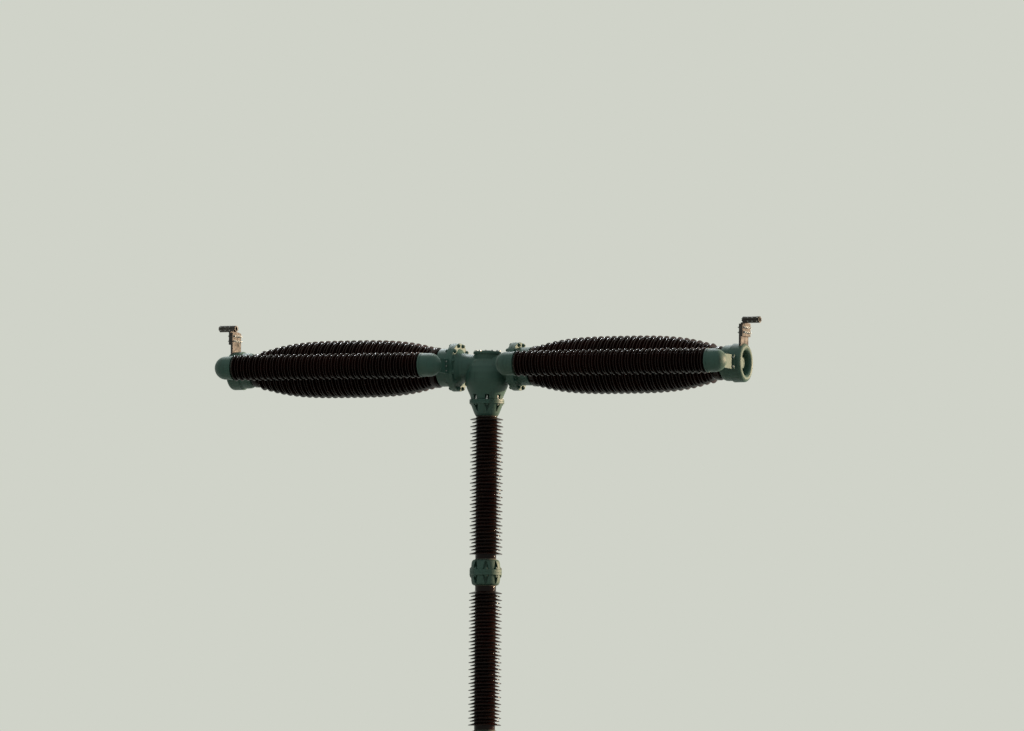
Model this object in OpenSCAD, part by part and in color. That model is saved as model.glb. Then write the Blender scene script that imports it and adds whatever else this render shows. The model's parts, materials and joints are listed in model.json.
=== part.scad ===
// One pole of a live-tank circuit breaker: two horizontal interrupter arms on a T-shaped head,
// carried by two stacked porcelain columns on a lattice pedestal.
// The origin is on the ground at the middle of the four feet. X runs along the arms, Z is up,
// and the grading capacitors lie on the -Y side.

/* [Pedestal] */
// Height from the ground to the top of the pedestal
pedestal_h = 3000; // [2500:50:3600]
// Width over the outer faces of the four legs
pedestal_w = 900; // [780:20:1100]
// Width of each flange of a leg angle
leg_w = 90; // [70:5:110]
// Thickness of a leg angle
leg_t = 9; // [6:1:14]
// Side of a square foot plate
foot_w = 270; // [220:10:320]
// Thickness of a foot plate
foot_t = 25; // [16:1:40]
// Radius of an anchor bolt hole
anchor_r = 16; // [10:1:20]
// Number of bracing panels on each side
panels = 4; // [3:1:6]
// Width of a bracing angle
brace_w = 50; // [35:5:60]
// Thickness of a bracing angle
brace_t = 6; // [4:1:8]
// Height of the channel beams on top of the legs
beam_h = 160; // [120:10:200]
// Width of the channel beam flanges
beam_w = 65; // [50:5:80]
// Thickness of the channel beams
beam_t = 9; // [6:1:12]

/* [Drive] */
// Height of the drive housing between pedestal and column
housing_h = 734; // [600:2:900]
// Width of the square drive housing body
housing_w = 400; // [360:10:460]
// Radius of the round inspection covers
cover_r = 130; // [100:5:150]
// Length of the rocker lever between its two centres
lever_len = 220; // [180:10:260]
// Radius of the drive rod
rod_r = 22; // [16:1:30]
// Width of the mechanism cabinet
cabinet_w = 700; // [560:10:800]
// Depth of the mechanism cabinet
cabinet_d = 420; // [340:10:500]
// Height of the mechanism cabinet
cabinet_h = 1000; // [800:10:1200]
// Height of the cabinet floor above the ground
cabinet_z = 1300; // [900:50:1400]

/* [Column] */
// Length of one column section from flange to flange
column_len = 1686; // [1400:2:2100]
// Radius of the porcelain body of the column
column_r = 104; // [90:1:126]
// Reach of a large column shed beyond the body
column_shed = 61; // [45:1:75]
// Distance from one large column shed to the next
column_pitch = 70; // [60:1:84]
// Reach of a column flange beyond the porcelain body
flange_reach = 55; // [46:1:64]
// Thickness of one flange
flange_t = 28; // [20:1:34]
// Height of a column end fitting with its flange
fitting_h = 126; // [110:1:160]
// Height of the crown fitting under the head with its flange
crown_h = 140; // [124:1:170]
// Number of petals on a column end fitting, with a bolt pocket between each two
petals = 8; // [6:1:12]

/* [Head and arms] */
// Height of the arm axis above the column's top flange
head_h = 344; // [300:2:400]
// Largest radius of the bell of the head
bell_r = 218; // [200:1:262]
// Distance from the column axis to the back of an arm flange
head_reach = 286; // [270:1:345]
// Radius of the arm flanges
arm_flange_r = 238; // [225:1:280]
// Thickness of one arm flange
arm_flange_t = 35; // [25:1:40]
// Length of the porcelain of an interrupter between its fittings
chamber_len = 2020; // [1680:10:2500]
// Radius of the interrupter porcelain at its ends
chamber_end_r = 130; // [108:1:156]
// Extra radius of the interrupter porcelain at its middle
chamber_belly = 105; // [80:1:126]
// Reach of a large interrupter shed beyond the body
chamber_shed = 52; // [40:1:60]
// Distance from one large interrupter shed to the next
chamber_pitch = 70; // [60:1:84]

/* [Terminals] */
// Step from the outer fitting up to the shield ring
ring_step = 14; // [0:1:30]
// Radius of the full round lip at the end of the shield ring
ring_lip_r = 34; // [20:1:38]
// Length of the shield ring along the arm
ring_len = 141; // [120:1:180]
// Width of the terminal pad
pad_w = 210; // [175:5:255]
// Height of the terminal pad above the ring
pad_h = 190; // [170:5:240]
// Thickness of the terminal pad
pad_t = 21; // [16:1:26]
// Radius of the conductor bore in the terminal clamp
clamp_r = 20; // [12:1:26]

/* [Grading capacitors] */
// Distance of a capacitor axis in front of the arm axis
cap_offset = 491; // [470:1:590]
// Radius of the capacitor porcelain
cap_r = 80; // [66:1:96]
// Reach of a large capacitor shed beyond the body
cap_shed = 48; // [36:1:56]
// Distance from one large capacitor shed to the next
cap_pitch = 63; // [56:1:76]
// Radius of the domed capacitor caps
dome_r = 115; // [104:1:138]
// Height of the brackets that carry the capacitors
bracket_h = 138; // [110:1:166]
// Thickness of a bracket plate
bracket_t = 18; // [12:1:24]

/* [Hidden] */
$fn = 64;
RIGHT = 1;
LEFT = -1;
green = [0.36, 0.45, 0.41];
pale_green = [0.43, 0.52, 0.45];
glaze = [0.17, 0.10, 0.09];
bare_metal = [0.72, 0.72, 0.70];
galvanised = [0.60, 0.62, 0.62];

// Pedestal
half_w = pedestal_w / 2;
cap_plate_t = 12;
cap_plate_w = leg_w + 20;
leg_top = pedestal_h - beam_h;
foot_mid = half_w - leg_w / 2;
anchor_edge = 45;
anchor_out = foot_w / 2 - anchor_edge;
gusset_h = 110;
gusset_t = 10;
brace_face = half_w - leg_t;
brace_low = 300;
brace_high = leg_top - 140;
panel_h = (brace_high - brace_low) / panels;
brace_end = brace_face - brace_t - 5;
brace_rib_end = brace_face - brace_w - 5;
carrier_x = 180;

// Drive
rail_h = 80;
rail_d = 50;
rail_t = 7;
rail_low = cabinet_z + cabinet_h * 0.15;
rail_high = cabinet_z + cabinet_h * 0.85;
cabinet_y = half_w + rail_d;
cabinet_top = cabinet_z + cabinet_h;
roof_over = 30;
roof_h = 60;
gland_r = rod_r * 2;
gland_h = 36;
gland_seat = 12;
door_t = 28;
door_gap = 30;
base_w = housing_w + 160;
base_corner = 40;
base_t = 25;
flange_r = column_r + flange_reach;
neck_r = flange_r - 18;
bolt_circle_r = flange_r - 19;
flange_bevel = 2;
housing_body_h = housing_h * 0.62;
housing_corner = 60;
shoulder_h = 14;
housing_neck_z = 86;
housing_ribs = 8;
housing_rib_t = 12;
cover_boss = 22;
cover_lip = 12;
cover_t = 18;
cover_rise = 10;
cover_plateau_r = cover_r - 44;
shaft_r = 34;
shaft_z = pedestal_h + housing_body_h * 0.56;
shaft_boss_r = 80;
shaft_boss = 60;
shaft_end = 18;
lever_t = 24;
lever_hub_r = shaft_r + 26;
lever_eye_r = 36;
fork_t = 12;
fork_h = 130;
fork_w = 60;
pin_r = 15;
pin_end = 8;
run_gap = 0.3;
rod_y = cabinet_y + 55;

// Column and its end fittings
cement_gap = 3;
seat = 70;
spigot_r = column_r - 6;
petal_foot_r = flange_r - 13;
petal_mouth_r = column_r + 22;
pocket_r = spigot_r + cement_gap + 9;
pocket_share = 0.48;
pocket_top = 9;
foot_neck = 50;
top_neck = 52;
crown_neck = 8;
shed_edge = 3.5;
small_shed = 0.72;
column_z = pedestal_h + housing_h;
joint_z = column_z + column_len;
column_top = joint_z + column_len;
axis_z = column_top + head_h;
column_droop = 13;

// Head and arms
head_flange_r = flange_r + 13;
head_flange_t = 22;
head_bolt_r = head_flange_r - 27;
crown_foot_r = head_flange_r - 12;
crown_waist_r = column_r + 20;
crown_mouth_r = column_r + 8;
crown_pocket = PI * crown_foot_r / petals * 0.43;
crown_pocket_h = crown_h - 40 - head_flange_t;
bell_foot_r = head_flange_r - 16;
bell_wide_z = -120;
bell_power = 1.4;
bell_pocket_r = 22;
bell_pocket_h = 46;
spot_face = 1.5;
bell_rise = head_h - head_flange_t + bell_wide_z;
pipe_r = 122;
pipe_mouth_r = arm_flange_r - 56;
head_boss_r = 128;
head_cover_r = 137;
head_cover_t = 24;
head_cover_z = pipe_r + 6;
arm_flange_x = head_reach + arm_flange_t;
inner_fit_r = chamber_end_r + 58;
inner_fit_len = 124;
chamber_seat = 60;
chamber_x = head_reach + 2 * arm_flange_t + inner_fit_len;
chamber_end = chamber_x + chamber_len;
neck_len = 95;
inner_neck_r = chamber_end_r + 70;
outer_neck_r = chamber_end_r + 38;
belly_root = 15;
belly_power = 3.2;
belly_shift = 40;
small_chamber_shed = 0.75;
outer_fit_r = chamber_end_r + 46;
outer_fit_len = 100;
ring_r = outer_fit_r + ring_step;
ring_hole_r = ring_r - 2 * ring_lip_r;
ring_x = chamber_end + outer_fit_len;
arm_end = ring_x + ring_len;
end_cover_r = ring_hole_r - 21;
end_cover_t = 16;
pad_face = arm_end - 38;
pad_corner = 12;
bolt_pitch = 50;
palm_t = 20;
palm_edge = 16;
palm_side = 4;
palm_over = 10;
clamp_wall = 12;
clamp_len = 176;
clamp_back = 16;
clamp_ear = 45;
clamp_ear_t = 28;
clamp_slit = 3;

// Capacitors
cap_seat = 40;
inner_dome_x = chamber_x - 70;
inner_cap_end = inner_dome_x + 92;
outer_dome_x = ring_x - 8;
outer_cap_start = outer_dome_x - 80;
bracket_set = 67;
bracket_foot_t = 12;
boss_t = 14;
boss_root = 30;
ring_boss_w = 60;
cap_bead = 4;
cap_bead_w = 18;
inner_bracket_x = inner_dome_x - bracket_set;
outer_bracket_x = outer_dome_x + bracket_set;
flange_boss_x = arm_flange_x + arm_flange_t / 2;

// Shapes that several pieces share

// Outline of one shed from its lower root to its upper root, as [radius, height] points
function shed(z, root, tip, half, droop) = [
    [root, z - half],
    [root + (tip - root) * 0.2, z - half * 0.5 - droop * 0.2],
    [tip - shed_edge, z - shed_edge - droop],
    [tip, z - droop],
    [tip - shed_edge, z + shed_edge - droop],
    [root + (tip - root) * 0.2, z + half * 0.5 - droop * 0.2],
    [root, z + half]];

// Odd number of sheds between a and b, so that the first and the last are large
function shed_count(a, b, pitch) = 2 * floor((b - a) / pitch) + 1;

// Alternating large and small sheds from height a to height b on a body of constant radius
function sheds(a, b, root, reach, pitch, droop) =
    let (count = shed_count(a, b, pitch), step = (b - a) / count)
    [for (i = [0 : count - 1])
        let (size = i % 2 == 0 ? 1 : small_shed)
        each shed(a + (i + 0.5) * step, root, root + reach * size, step * 0.46, droop * size)];

module rounded_square(w, r) {
    square([w - 2 * r, w], center = true);
    square([w, w - 2 * r], center = true);
    for (x = [-1, 1], y = [-1, 1])
        translate([x, y] * (w / 2 - r)) circle(r);
}

// Puts a shape that is drawn along +Z onto an arm, pointing away from the column
module on_arm(side) {
    translate([0, 0, axis_z]) rotate([0, side * 90, 0]) children();
}

module on_capacitor(side) {
    translate([0, -cap_offset, axis_z]) rotate([0, side * 90, 0]) children();
}

// Pedestal

module leg(x, y) {
    color(green)
    in_corner(x, y) {
        difference() {
            translate([foot_mid - foot_w / 2, foot_mid - foot_w / 2, 0]) cube([foot_w, foot_w, foot_t]);
            for (d = [-1, 1])
                translate([foot_mid + d * anchor_out, foot_mid + d * anchor_out, -1])
                    cylinder(r = anchor_r, h = foot_t + 2);
        }
        translate([half_w - leg_w, half_w - leg_w, 0])
            difference() {
                translate([0, 0, foot_t - 1]) cube([leg_w, leg_w, leg_top - foot_t]);
                translate([-1, -1, 0]) cube([leg_w - leg_t + 1, leg_w - leg_t + 1, leg_top + 1]);
            }
        translate([half_w - cap_plate_w, half_w - cap_plate_w, leg_top - cap_plate_t])
            cube([cap_plate_w, cap_plate_w, cap_plate_t]);
        foot_gusset();
        mirror([1, -1, 0]) foot_gusset();
    }
}

// Mirrors a shape drawn in the +X +Y corner into another corner
module in_corner(x, y) {
    mirror([x < 0 ? 1 : 0, 0, 0]) mirror([0, y < 0 ? 1 : 0, 0]) children();
}

module foot_gusset() {
    reach = foot_mid + foot_w / 2 - half_w - 10;
    translate([half_w - 1, foot_mid - gusset_t / 2, foot_t - 1])
        rotate([90, 0, 0])
            translate([0, 0, -gusset_t])
                linear_extrude(gusset_t)
                    polygon([[0, 0], [reach, 0], [reach, 15], [15, gusset_h], [0, gusset_h]]);
}

module bar_2d(a, b, w) {
    d = b - a;
    translate(a) rotate(atan2(d[1], d[0])) translate([0, -w / 2]) square([norm(d), w]);
}

// Bracing of one side in the plane of that side: level bars and one diagonal in each panel
module bracing_2d(w, low, reach) {
    intersection() {
        translate([-reach, 0]) square([2 * reach, leg_top]);
        union() {
            for (i = [0 : panels])
                translate([0, low]) bar_2d([-half_w, level(i)], [half_w, level(i)], w);
            for (i = [0 : panels - 1])
                let (s = i % 2 == 0 ? 1 : -1)
                translate([0, low]) bar_2d([-s * brace_end, level(i)], [s * brace_end, level(i + 1)], w);
        }
    }
}

function level(i) = brace_low + i * panel_h;

// A side of the lattice: flat flanges against the legs and a rib along the foot of each bar
module lattice_side(turn) {
    color(green)
    rotate([0, 0, turn])
        translate([0, -brace_face, 0])
            rotate([90, 0, 0])
                mirror([0, 0, 1]) {
                    linear_extrude(brace_t) bracing_2d(brace_w, 0, brace_end);
                    linear_extrude(brace_w) bracing_2d(brace_t, (brace_t - brace_w) / 2, brace_rib_end);
                }
}

// Channel beam along X with its web on the -Y side
module channel(len, h, w, t) {
    translate([-len / 2, 0, 0])
        difference() {
            cube([len, w, h]);
            translate([-1, t, t]) cube([len + 2, w, h - 2 * t]);
        }
}

module head_frame() {
    color(green)
    translate([0, 0, leg_top]) {
        for (turn = [0, 180])
            rotate([0, 0, turn]) translate([0, -half_w, 0]) channel(pedestal_w, beam_h, beam_w, beam_t);
        for (turn = [90, 270])
            rotate([0, 0, turn])
                translate([0, -half_w, 0]) channel(pedestal_w - 2 * beam_t, beam_h, beam_w, beam_t);
        for (turn = [90, 270])
            rotate([0, 0, turn])
                translate([0, -carrier_x - beam_w / 2, 0])
                    channel(pedestal_w - 2 * beam_t, beam_h, beam_w, beam_t);
    }
}

// Drive

module drive_housing() {
    body_top = pedestal_h + housing_body_h;
    neck_top = column_z - flange_t - body_top;
    color(green) {
        translate([0, 0, pedestal_h]) linear_extrude(base_t) rounded_square(base_w, base_corner);
        translate([0, 0, pedestal_h + base_t - 1])
            linear_extrude(housing_body_h - base_t + 1) rounded_square(housing_w, housing_corner);
        translate([0, 0, body_top - 1])
            rotate_extrude()
                polygon([[0, 0], [housing_w / 2 - 8, 0], [housing_w / 2 - 12, shoulder_h],
                    [neck_r + 14, housing_neck_z - 26], [neck_r, housing_neck_z],
                    [neck_r, neck_top + 2], [0, neck_top + 2]]);
        translate([0, 0, column_z - flange_t]) cylinder(r = flange_r, h = flange_t);
        for (i = [0 : housing_ribs - 1])
            rotate([0, 0, (i + 0.5) * 360 / housing_ribs])
                translate([0, 0, body_top]) housing_rib(neck_top);
        translate([0, 0, shaft_z]) rotate([0, 90, 0])
            cylinder(r = cover_r + cover_lip, h = housing_w + 2 * cover_boss, center = true);
        translate([0, 0, shaft_z]) rotate([-90, 0, 0])
            difference() {
                cylinder(r = shaft_boss_r, h = housing_w / 2 + shaft_boss);
                translate([0, 0, housing_w / 2]) cylinder(r = shaft_r + run_gap, h = shaft_boss + 1);
            }
    }
}

// Web from the shoulder of the housing up to the flange under the column
module housing_rib(top) {
    root = neck_r - 8;
    rotate([90, 0, 0])
        translate([0, 0, -housing_rib_t / 2])
            linear_extrude(housing_rib_t)
                polygon([[root, 40], [housing_w / 2 - 20, 6], [neck_r + 10, top], [root, top]]);
}

module housing_covers() {
    color(pale_green)
    for (side = [LEFT, RIGHT])
        translate([side * (housing_w / 2 + cover_boss), 0, shaft_z])
            rotate([0, side * 90, 0])
                rotate_extrude()
                    polygon([[0, 0], [cover_r, 0], [cover_r, cover_t - 3], [cover_r - 3, cover_t],
                        [cover_plateau_r + cover_rise, cover_t], [cover_plateau_r, cover_t + cover_rise],
                        [0, cover_t + cover_rise]]);
}

// Arm on the end of the shaft, with an eye for the drive rod's pin
module rocker_lever() {
    shaft_start = housing_w / 2 + 0.5;
    color(galvanised)
    translate([0, 0, shaft_z]) {
        translate([0, shaft_start, 0]) rotate([-90, 0, 0])
            cylinder(r = shaft_r, h = rod_y + lever_t / 2 + shaft_end - shaft_start);
        translate([0, rod_y + lever_t / 2, 0]) rotate([90, 0, 0])
            linear_extrude(lever_t)
                difference() {
                    union() {
                        circle(lever_hub_r);
                        translate([-lever_len, 0]) circle(lever_eye_r);
                        polygon([[0, lever_hub_r - 10], [-lever_len, lever_eye_r - 6],
                            [-lever_len, 6 - lever_eye_r], [0, 10 - lever_hub_r]]);
                    }
                    translate([-lever_len, 0]) circle(pin_r + run_gap);
                }
    }
}

// Rod from the cabinet up to a fork that straddles the lever's eye
module drive_rod() {
    cheek_y = lever_t / 2;
    fork_half = cheek_y + fork_t;
    rod_foot = cabinet_top + roof_h + gland_h - gland_seat;
    yoke_z = shaft_z - fork_h;
    yoke_t = 30;
    color(galvanised)
    translate([-lever_len, rod_y, 0]) {
        for (y = [-fork_half, cheek_y])
            translate([0, y + fork_t, 0])
                rotate([90, 0, 0])
                    linear_extrude(fork_t) {
                        translate([0, shaft_z]) circle(fork_w / 2);
                        translate([-fork_w / 2, yoke_z]) square([fork_w, fork_h]);
                    }
        translate([-fork_w / 2, -fork_half, yoke_z - yoke_t]) cube([fork_w, 2 * fork_half, yoke_t + 1]);
        translate([0, fork_half + pin_end, shaft_z]) rotate([90, 0, 0])
            cylinder(r = pin_r, h = 2 * (fork_half + pin_end));
        translate([0, 0, rod_foot]) cylinder(r = rod_r, h = yoke_z - yoke_t + 1 - rod_foot);
    }
}

module cabinet_rails() {
    color(green)
    for (z = [rail_low, rail_high])
        translate([0, cabinet_y, z - rail_h / 2])
            mirror([0, 1, 0]) channel(pedestal_w - 20, rail_h, rail_d, rail_t);
}

module mechanism_cabinet() {
    color(pale_green)
    difference() {
        union() {
            translate([-cabinet_w / 2, cabinet_y, cabinet_z]) cube([cabinet_w, cabinet_d, cabinet_h + 1]);
            translate([cabinet_w / 2 + roof_over, cabinet_y, cabinet_top])
                rotate([90, 0, -90])
                    linear_extrude(cabinet_w + 2 * roof_over)
                        polygon([[0, 0], [-cabinet_d - roof_over, 0], [-cabinet_d - roof_over, roof_h / 3],
                            [0, roof_h]]);
            translate([-lever_len, rod_y, cabinet_top]) cylinder(r = gland_r, h = roof_h + gland_h);
        }
        translate([-lever_len, rod_y, cabinet_top + roof_h + gland_h - gland_seat])
            cylinder(r = rod_r + run_gap, h = gland_seat + 1);
        translate([-cabinet_w / 2 + 20, cabinet_y + cabinet_d - 8, cabinet_z + 20])
            cube([cabinet_w - 40, 9, cabinet_h - 40]);
    }
}

module cabinet_door() {
    door_w = cabinet_w - 2 * door_gap;
    door_h = cabinet_h - 2 * door_gap;
    color(pale_green)
    translate([0, cabinet_y + cabinet_d - 8, cabinet_z + door_gap])
        difference() {
            translate([-door_w / 2, 0, 0]) cube([door_w, door_t, door_h]);
            translate([-door_w / 2 + 50, door_t - 6, 50]) cube([door_w - 100, 7, door_h - 100]);
        }
}

// Column

// Lower end fitting of a column section: a flange, a bowl of petals and a cup for the porcelain
module column_base() {
    mouth = fitting_h - 6;
    half = PI * petal_foot_r / petals * pocket_share;
    high = fitting_h - pocket_top - flange_t;
    color(green)
    difference() {
        rotate_extrude()
            polygon(concat(
                [[0, 0], [flange_r - flange_bevel, 0], [flange_r, flange_bevel],
                    [flange_r, flange_t - 3], [flange_r - 3, flange_t]],
                [for (v = [0 : 15 : 90])
                    [petal_mouth_r + (petal_foot_r - petal_mouth_r) * cos(v),
                        flange_t + (mouth - flange_t) * sin(v)]],
                [[petal_mouth_r - 8, fitting_h], [spigot_r + cement_gap, fitting_h],
                    [spigot_r + cement_gap, fitting_h - seat], [0, fitting_h - seat]]));
        bolt_pockets(flange_t)
            polygon([[-half, 0], [half, 0], [half * 0.8, high * 0.45], [half * 0.4, high * 0.85],
                [0, high], [-half * 0.4, high * 0.85], [-half * 0.8, high * 0.45]]);
    }
}

// Pockets that are cut into the petals above the flange bolts, from the outline of one of them
module bolt_pockets(face) {
    for (i = [0 : petals - 1])
        rotate([0, 0, (i + 0.5) * 360 / petals])
            translate([pocket_r, 0, face]) rotate([90, 0, 90]) linear_extrude(flange_r) children();
}

module column_cap() {
    translate([0, 0, column_len]) mirror([0, 0, 1]) column_base();
}

// Crown under the head: a wide thin flange and straight petals that taper to the cup
module crown_cap() {
    color(green)
    translate([0, 0, column_len])
        mirror([0, 0, 1])
            difference() {
                rotate_extrude()
                    polygon([[0, 0], [head_flange_r - flange_bevel, 0], [head_flange_r, flange_bevel],
                        [head_flange_r, head_flange_t - 3], [head_flange_r - 3, head_flange_t],
                        [crown_foot_r, head_flange_t], [crown_waist_r, crown_h * 0.82],
                        [crown_mouth_r, crown_h - 3], [crown_mouth_r - 3, crown_h],
                        [spigot_r + cement_gap, crown_h], [spigot_r + cement_gap, crown_h - seat],
                        [0, crown_h - seat]]);
                bolt_pockets(head_flange_t)
                    polygon([[-crown_pocket, 0], [crown_pocket, 0], [3, crown_pocket_h],
                        [-3, crown_pocket_h]]);
            }
}

// Porcelain of a column section, seated in both cups, with a smooth glazed neck under its sheds
module column_insulator(cap_h, cap_neck) {
    low = fitting_h - seat;
    top = column_len - cap_h;
    color(glaze)
    rotate_extrude()
        polygon(concat(
            [[0, low], [spigot_r, low], [spigot_r, fitting_h], [column_r, fitting_h + 6]],
            sheds(fitting_h + foot_neck, top - cap_neck, column_r, column_shed, column_pitch, column_droop),
            [[column_r + 4, top - cap_neck + 2], [column_r, top - 2], [spigot_r, top],
                [spigot_r, top + seat], [0, top + seat]]));
}

// Head

// Outline of the bell: it swells from the column flange and closes in a dome
function bell_outline() = concat(
    [for (v = [0 : 15 : 90])
        [bell_foot_r + (bell_r - bell_foot_r) * pow(sin(v), bell_power),
            -head_h + head_flange_t + bell_rise * v / 90]],
    [for (v = [15 : 15 : 75]) [bell_r * cos(v), bell_wide_z + (head_cover_z - bell_wide_z) * sin(v)]]);

// T-shaped casting: the bell, the boss of the top cover and a flanged pipe to each side
module head_casting() {
    color(green)
    translate([0, 0, axis_z]) {
        difference() {
            rotate_extrude()
                polygon(concat(
                    [[0, -head_h], [head_flange_r - flange_bevel, -head_h],
                        [head_flange_r, -head_h + flange_bevel], [head_flange_r, -head_h + head_flange_t - 3],
                        [head_flange_r - 3, -head_h + head_flange_t]],
                    bell_outline(), [[0, head_cover_z - 10]]));
            for (i = [0 : petals - 1])
                rotate([0, 0, (i + 0.5) * 360 / petals])
                    translate([head_bolt_r, 0, head_flange_t - head_h - spot_face])
                        linear_extrude(bell_pocket_h + spot_face) {
                            circle(bell_pocket_r);
                            translate([0, -bell_pocket_r]) square([2 * bell_pocket_r, 2 * bell_pocket_r]);
                        }
        }
        cylinder(r = head_boss_r, h = head_cover_z);
        for (side = [LEFT, RIGHT])
            rotate([0, side * 90, 0])
                rotate_extrude()
                    polygon([[0, 0], [pipe_r, 0], [pipe_r, head_reach - 130], [pipe_r + 8, head_reach - 80],
                        [pipe_r + 22, head_reach - 40], [pipe_mouth_r, head_reach],
                        [arm_flange_r - 3, head_reach], [arm_flange_r, head_reach + 3],
                        [arm_flange_r, arm_flange_x - flange_bevel],
                        [arm_flange_r - flange_bevel, arm_flange_x], [0, arm_flange_x]]);
    }
}

module head_cover() {
    plateau_r = 70;
    plateau_h = 10;
    color(green)
    translate([0, 0, axis_z + head_cover_z])
        rotate_extrude()
            polygon([[0, 0], [head_cover_r, 0], [head_cover_r, head_cover_t - 4],
                [head_cover_r - 4, head_cover_t], [plateau_r, head_cover_t],
                [plateau_r - 12, head_cover_t + plateau_h], [0, head_cover_t + plateau_h]]);
}

// Arms

module inner_fitting(side) {
    face = arm_flange_x + arm_flange_t;
    color(green)
    on_arm(side)
        rotate_extrude()
            polygon([[0, arm_flange_x], [arm_flange_r - flange_bevel, arm_flange_x],
                [arm_flange_r, arm_flange_x + flange_bevel], [arm_flange_r, face - 3],
                [arm_flange_r - 3, face], [inner_fit_r + 6, face], [inner_fit_r, face + 6],
                [inner_fit_r, chamber_x - 5], [inner_fit_r - 5, chamber_x],
                [chamber_end_r + cement_gap, chamber_x],
                [chamber_end_r + cement_gap, chamber_x - chamber_seat], [0, chamber_x - chamber_seat]]);
    bracket_boss(side, flange_boss_x, arm_flange_t, arm_flange_r);
}

// Flat boss on the -Y side of a round fitting, for a capacitor bracket
module bracket_boss(side, x, w, r) {
    color(green)
    translate([side * x - w / 2, -r - boss_t, axis_z - bracket_h / 2])
        cube([w, boss_t + boss_root, bracket_h]);
}

// Radius of the interrupter body at x, widest a little nearer to the head than its middle
function chamber_r(x) =
    let (t = (x - (chamber_x + chamber_end) / 2 + belly_shift) / (chamber_len / 2 - neck_len))
    chamber_end_r + belly_root + (chamber_belly - belly_root) * (1 - pow(min(abs(t), 1), belly_power));

function chamber_sheds(a, b) =
    let (count = shed_count(a, b, chamber_pitch), step = (b - a) / count)
    [for (i = [0 : count - 1])
        let (x = a + (i + 0.5) * step, size = i % 2 == 0 ? 1 : small_chamber_shed)
        each shed(x, chamber_r(x), chamber_r(x) + chamber_shed * size, step * 0.46, 0)];

module interrupter(side) {
    color(glaze)
    on_arm(side)
        rotate_extrude()
            polygon(concat(
                [[0, chamber_x - chamber_seat], [chamber_end_r, chamber_x - chamber_seat],
                    [chamber_end_r, chamber_x], [inner_neck_r - 14, chamber_x + 4],
                    [inner_neck_r - 4, chamber_x + 14], [inner_neck_r, chamber_x + 34],
                    [inner_neck_r - 2, chamber_x + 62], [inner_neck_r - 22, chamber_x + neck_len - 16]],
                chamber_sheds(chamber_x + neck_len, chamber_end - neck_len),
                [[outer_neck_r - 16, chamber_end - neck_len + 14], [outer_neck_r, chamber_end - 60],
                    [outer_neck_r, chamber_end - 24], [outer_neck_r - 12, chamber_end - 4],
                    [outer_neck_r - 18, chamber_end], [chamber_end_r, chamber_end],
                    [chamber_end_r, chamber_end + chamber_seat], [0, chamber_end + chamber_seat]]));
}

module outer_fitting(side) {
    color(green)
    on_arm(side)
        rotate_extrude()
            polygon([[chamber_end_r + cement_gap, chamber_end], [outer_fit_r - 22, chamber_end],
                [outer_fit_r - 10, chamber_end + 12], [outer_fit_r - 2, chamber_end + 30],
                [outer_fit_r, chamber_end + 50], [outer_fit_r, ring_x], [end_cover_r, ring_x],
                [end_cover_r, ring_x + end_cover_t], [0, ring_x + end_cover_t],
                [0, chamber_end + chamber_seat], [chamber_end_r + cement_gap, chamber_end + chamber_seat]]);
}

// Short cylinder with a full round lip round its hole
module shield_ring(side) {
    lip_x = arm_end - ring_lip_r;
    color(green)
    on_arm(side)
        rotate_extrude() {
            translate([ring_r - ring_lip_r, lip_x]) circle(ring_lip_r);
            polygon([[ring_hole_r, ring_x], [outer_fit_r - 2, ring_x], [ring_r, ring_x + 14],
                [ring_r, lip_x], [ring_hole_r, lip_x]]);
        }
    bracket_boss(side, outer_bracket_x, ring_boss_w, ring_r);
}

// Upright plate on top of the shield ring, with rounded upper corners
module terminal_pad(side) {
    top = ring_r + pad_h;
    color(bare_metal)
    translate([side * pad_face, 0, axis_z])
        rotate([90, 0, 90])
            translate([0, 0, -pad_t / 2])
                linear_extrude(pad_t)
                    difference() {
                        union() {
                            translate([-pad_w / 2, ring_r - 40]) square([pad_w, pad_h + 40 - pad_corner]);
                            translate([pad_corner - pad_w / 2, top - 2 * pad_corner])
                                square([pad_w - 2 * pad_corner, 2 * pad_corner]);
                            for (y = [pad_corner - pad_w / 2, pad_w / 2 - pad_corner])
                                translate([y, top - pad_corner]) circle(pad_corner);
                        }
                        circle(ring_r + run_gap);
                    }
}

// Flat palm against the pad, a rising neck and a clamp of two halves for the conductor
module terminal_clamp(side) {
    back = pad_face + pad_t / 2;
    palm_h = 2 * bolt_pitch + 2 * palm_edge;
    palm_top = ring_r + pad_h + palm_over;
    barrel_r = clamp_r + clamp_wall;
    clamp_z = palm_top + barrel_r;
    start = back - clamp_back;
    color(bare_metal)
    translate([0, 0, axis_z])
        mirror([side < 0 ? 1 : 0, 0, 0])
            difference() {
                union() {
                    translate([back, -pad_w / 2 - palm_side, palm_top - palm_h])
                        cube([palm_t, pad_w + 2 * palm_side, palm_h]);
                    translate([back, -clamp_ear, palm_top - 1]) cube([palm_t, 2 * clamp_ear, barrel_r]);
                    translate([start, -clamp_ear, clamp_z - clamp_ear_t / 2])
                        cube([clamp_len, 2 * clamp_ear, clamp_ear_t]);
                    translate([start, 0, clamp_z]) rotate([0, 90, 0]) cylinder(r = barrel_r, h = clamp_len);
                }
                translate([start - 1, 0, clamp_z]) rotate([0, 90, 0])
                    cylinder(r = clamp_r, h = clamp_len + 2);
                for (y = [-clamp_ear - 1, barrel_r - 6])
                    translate([start - 1, y, clamp_z - clamp_slit / 2])
                        cube([clamp_len + 2, clamp_ear + 7 - barrel_r, clamp_slit]);
            }
}

// Grading capacitors

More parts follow.
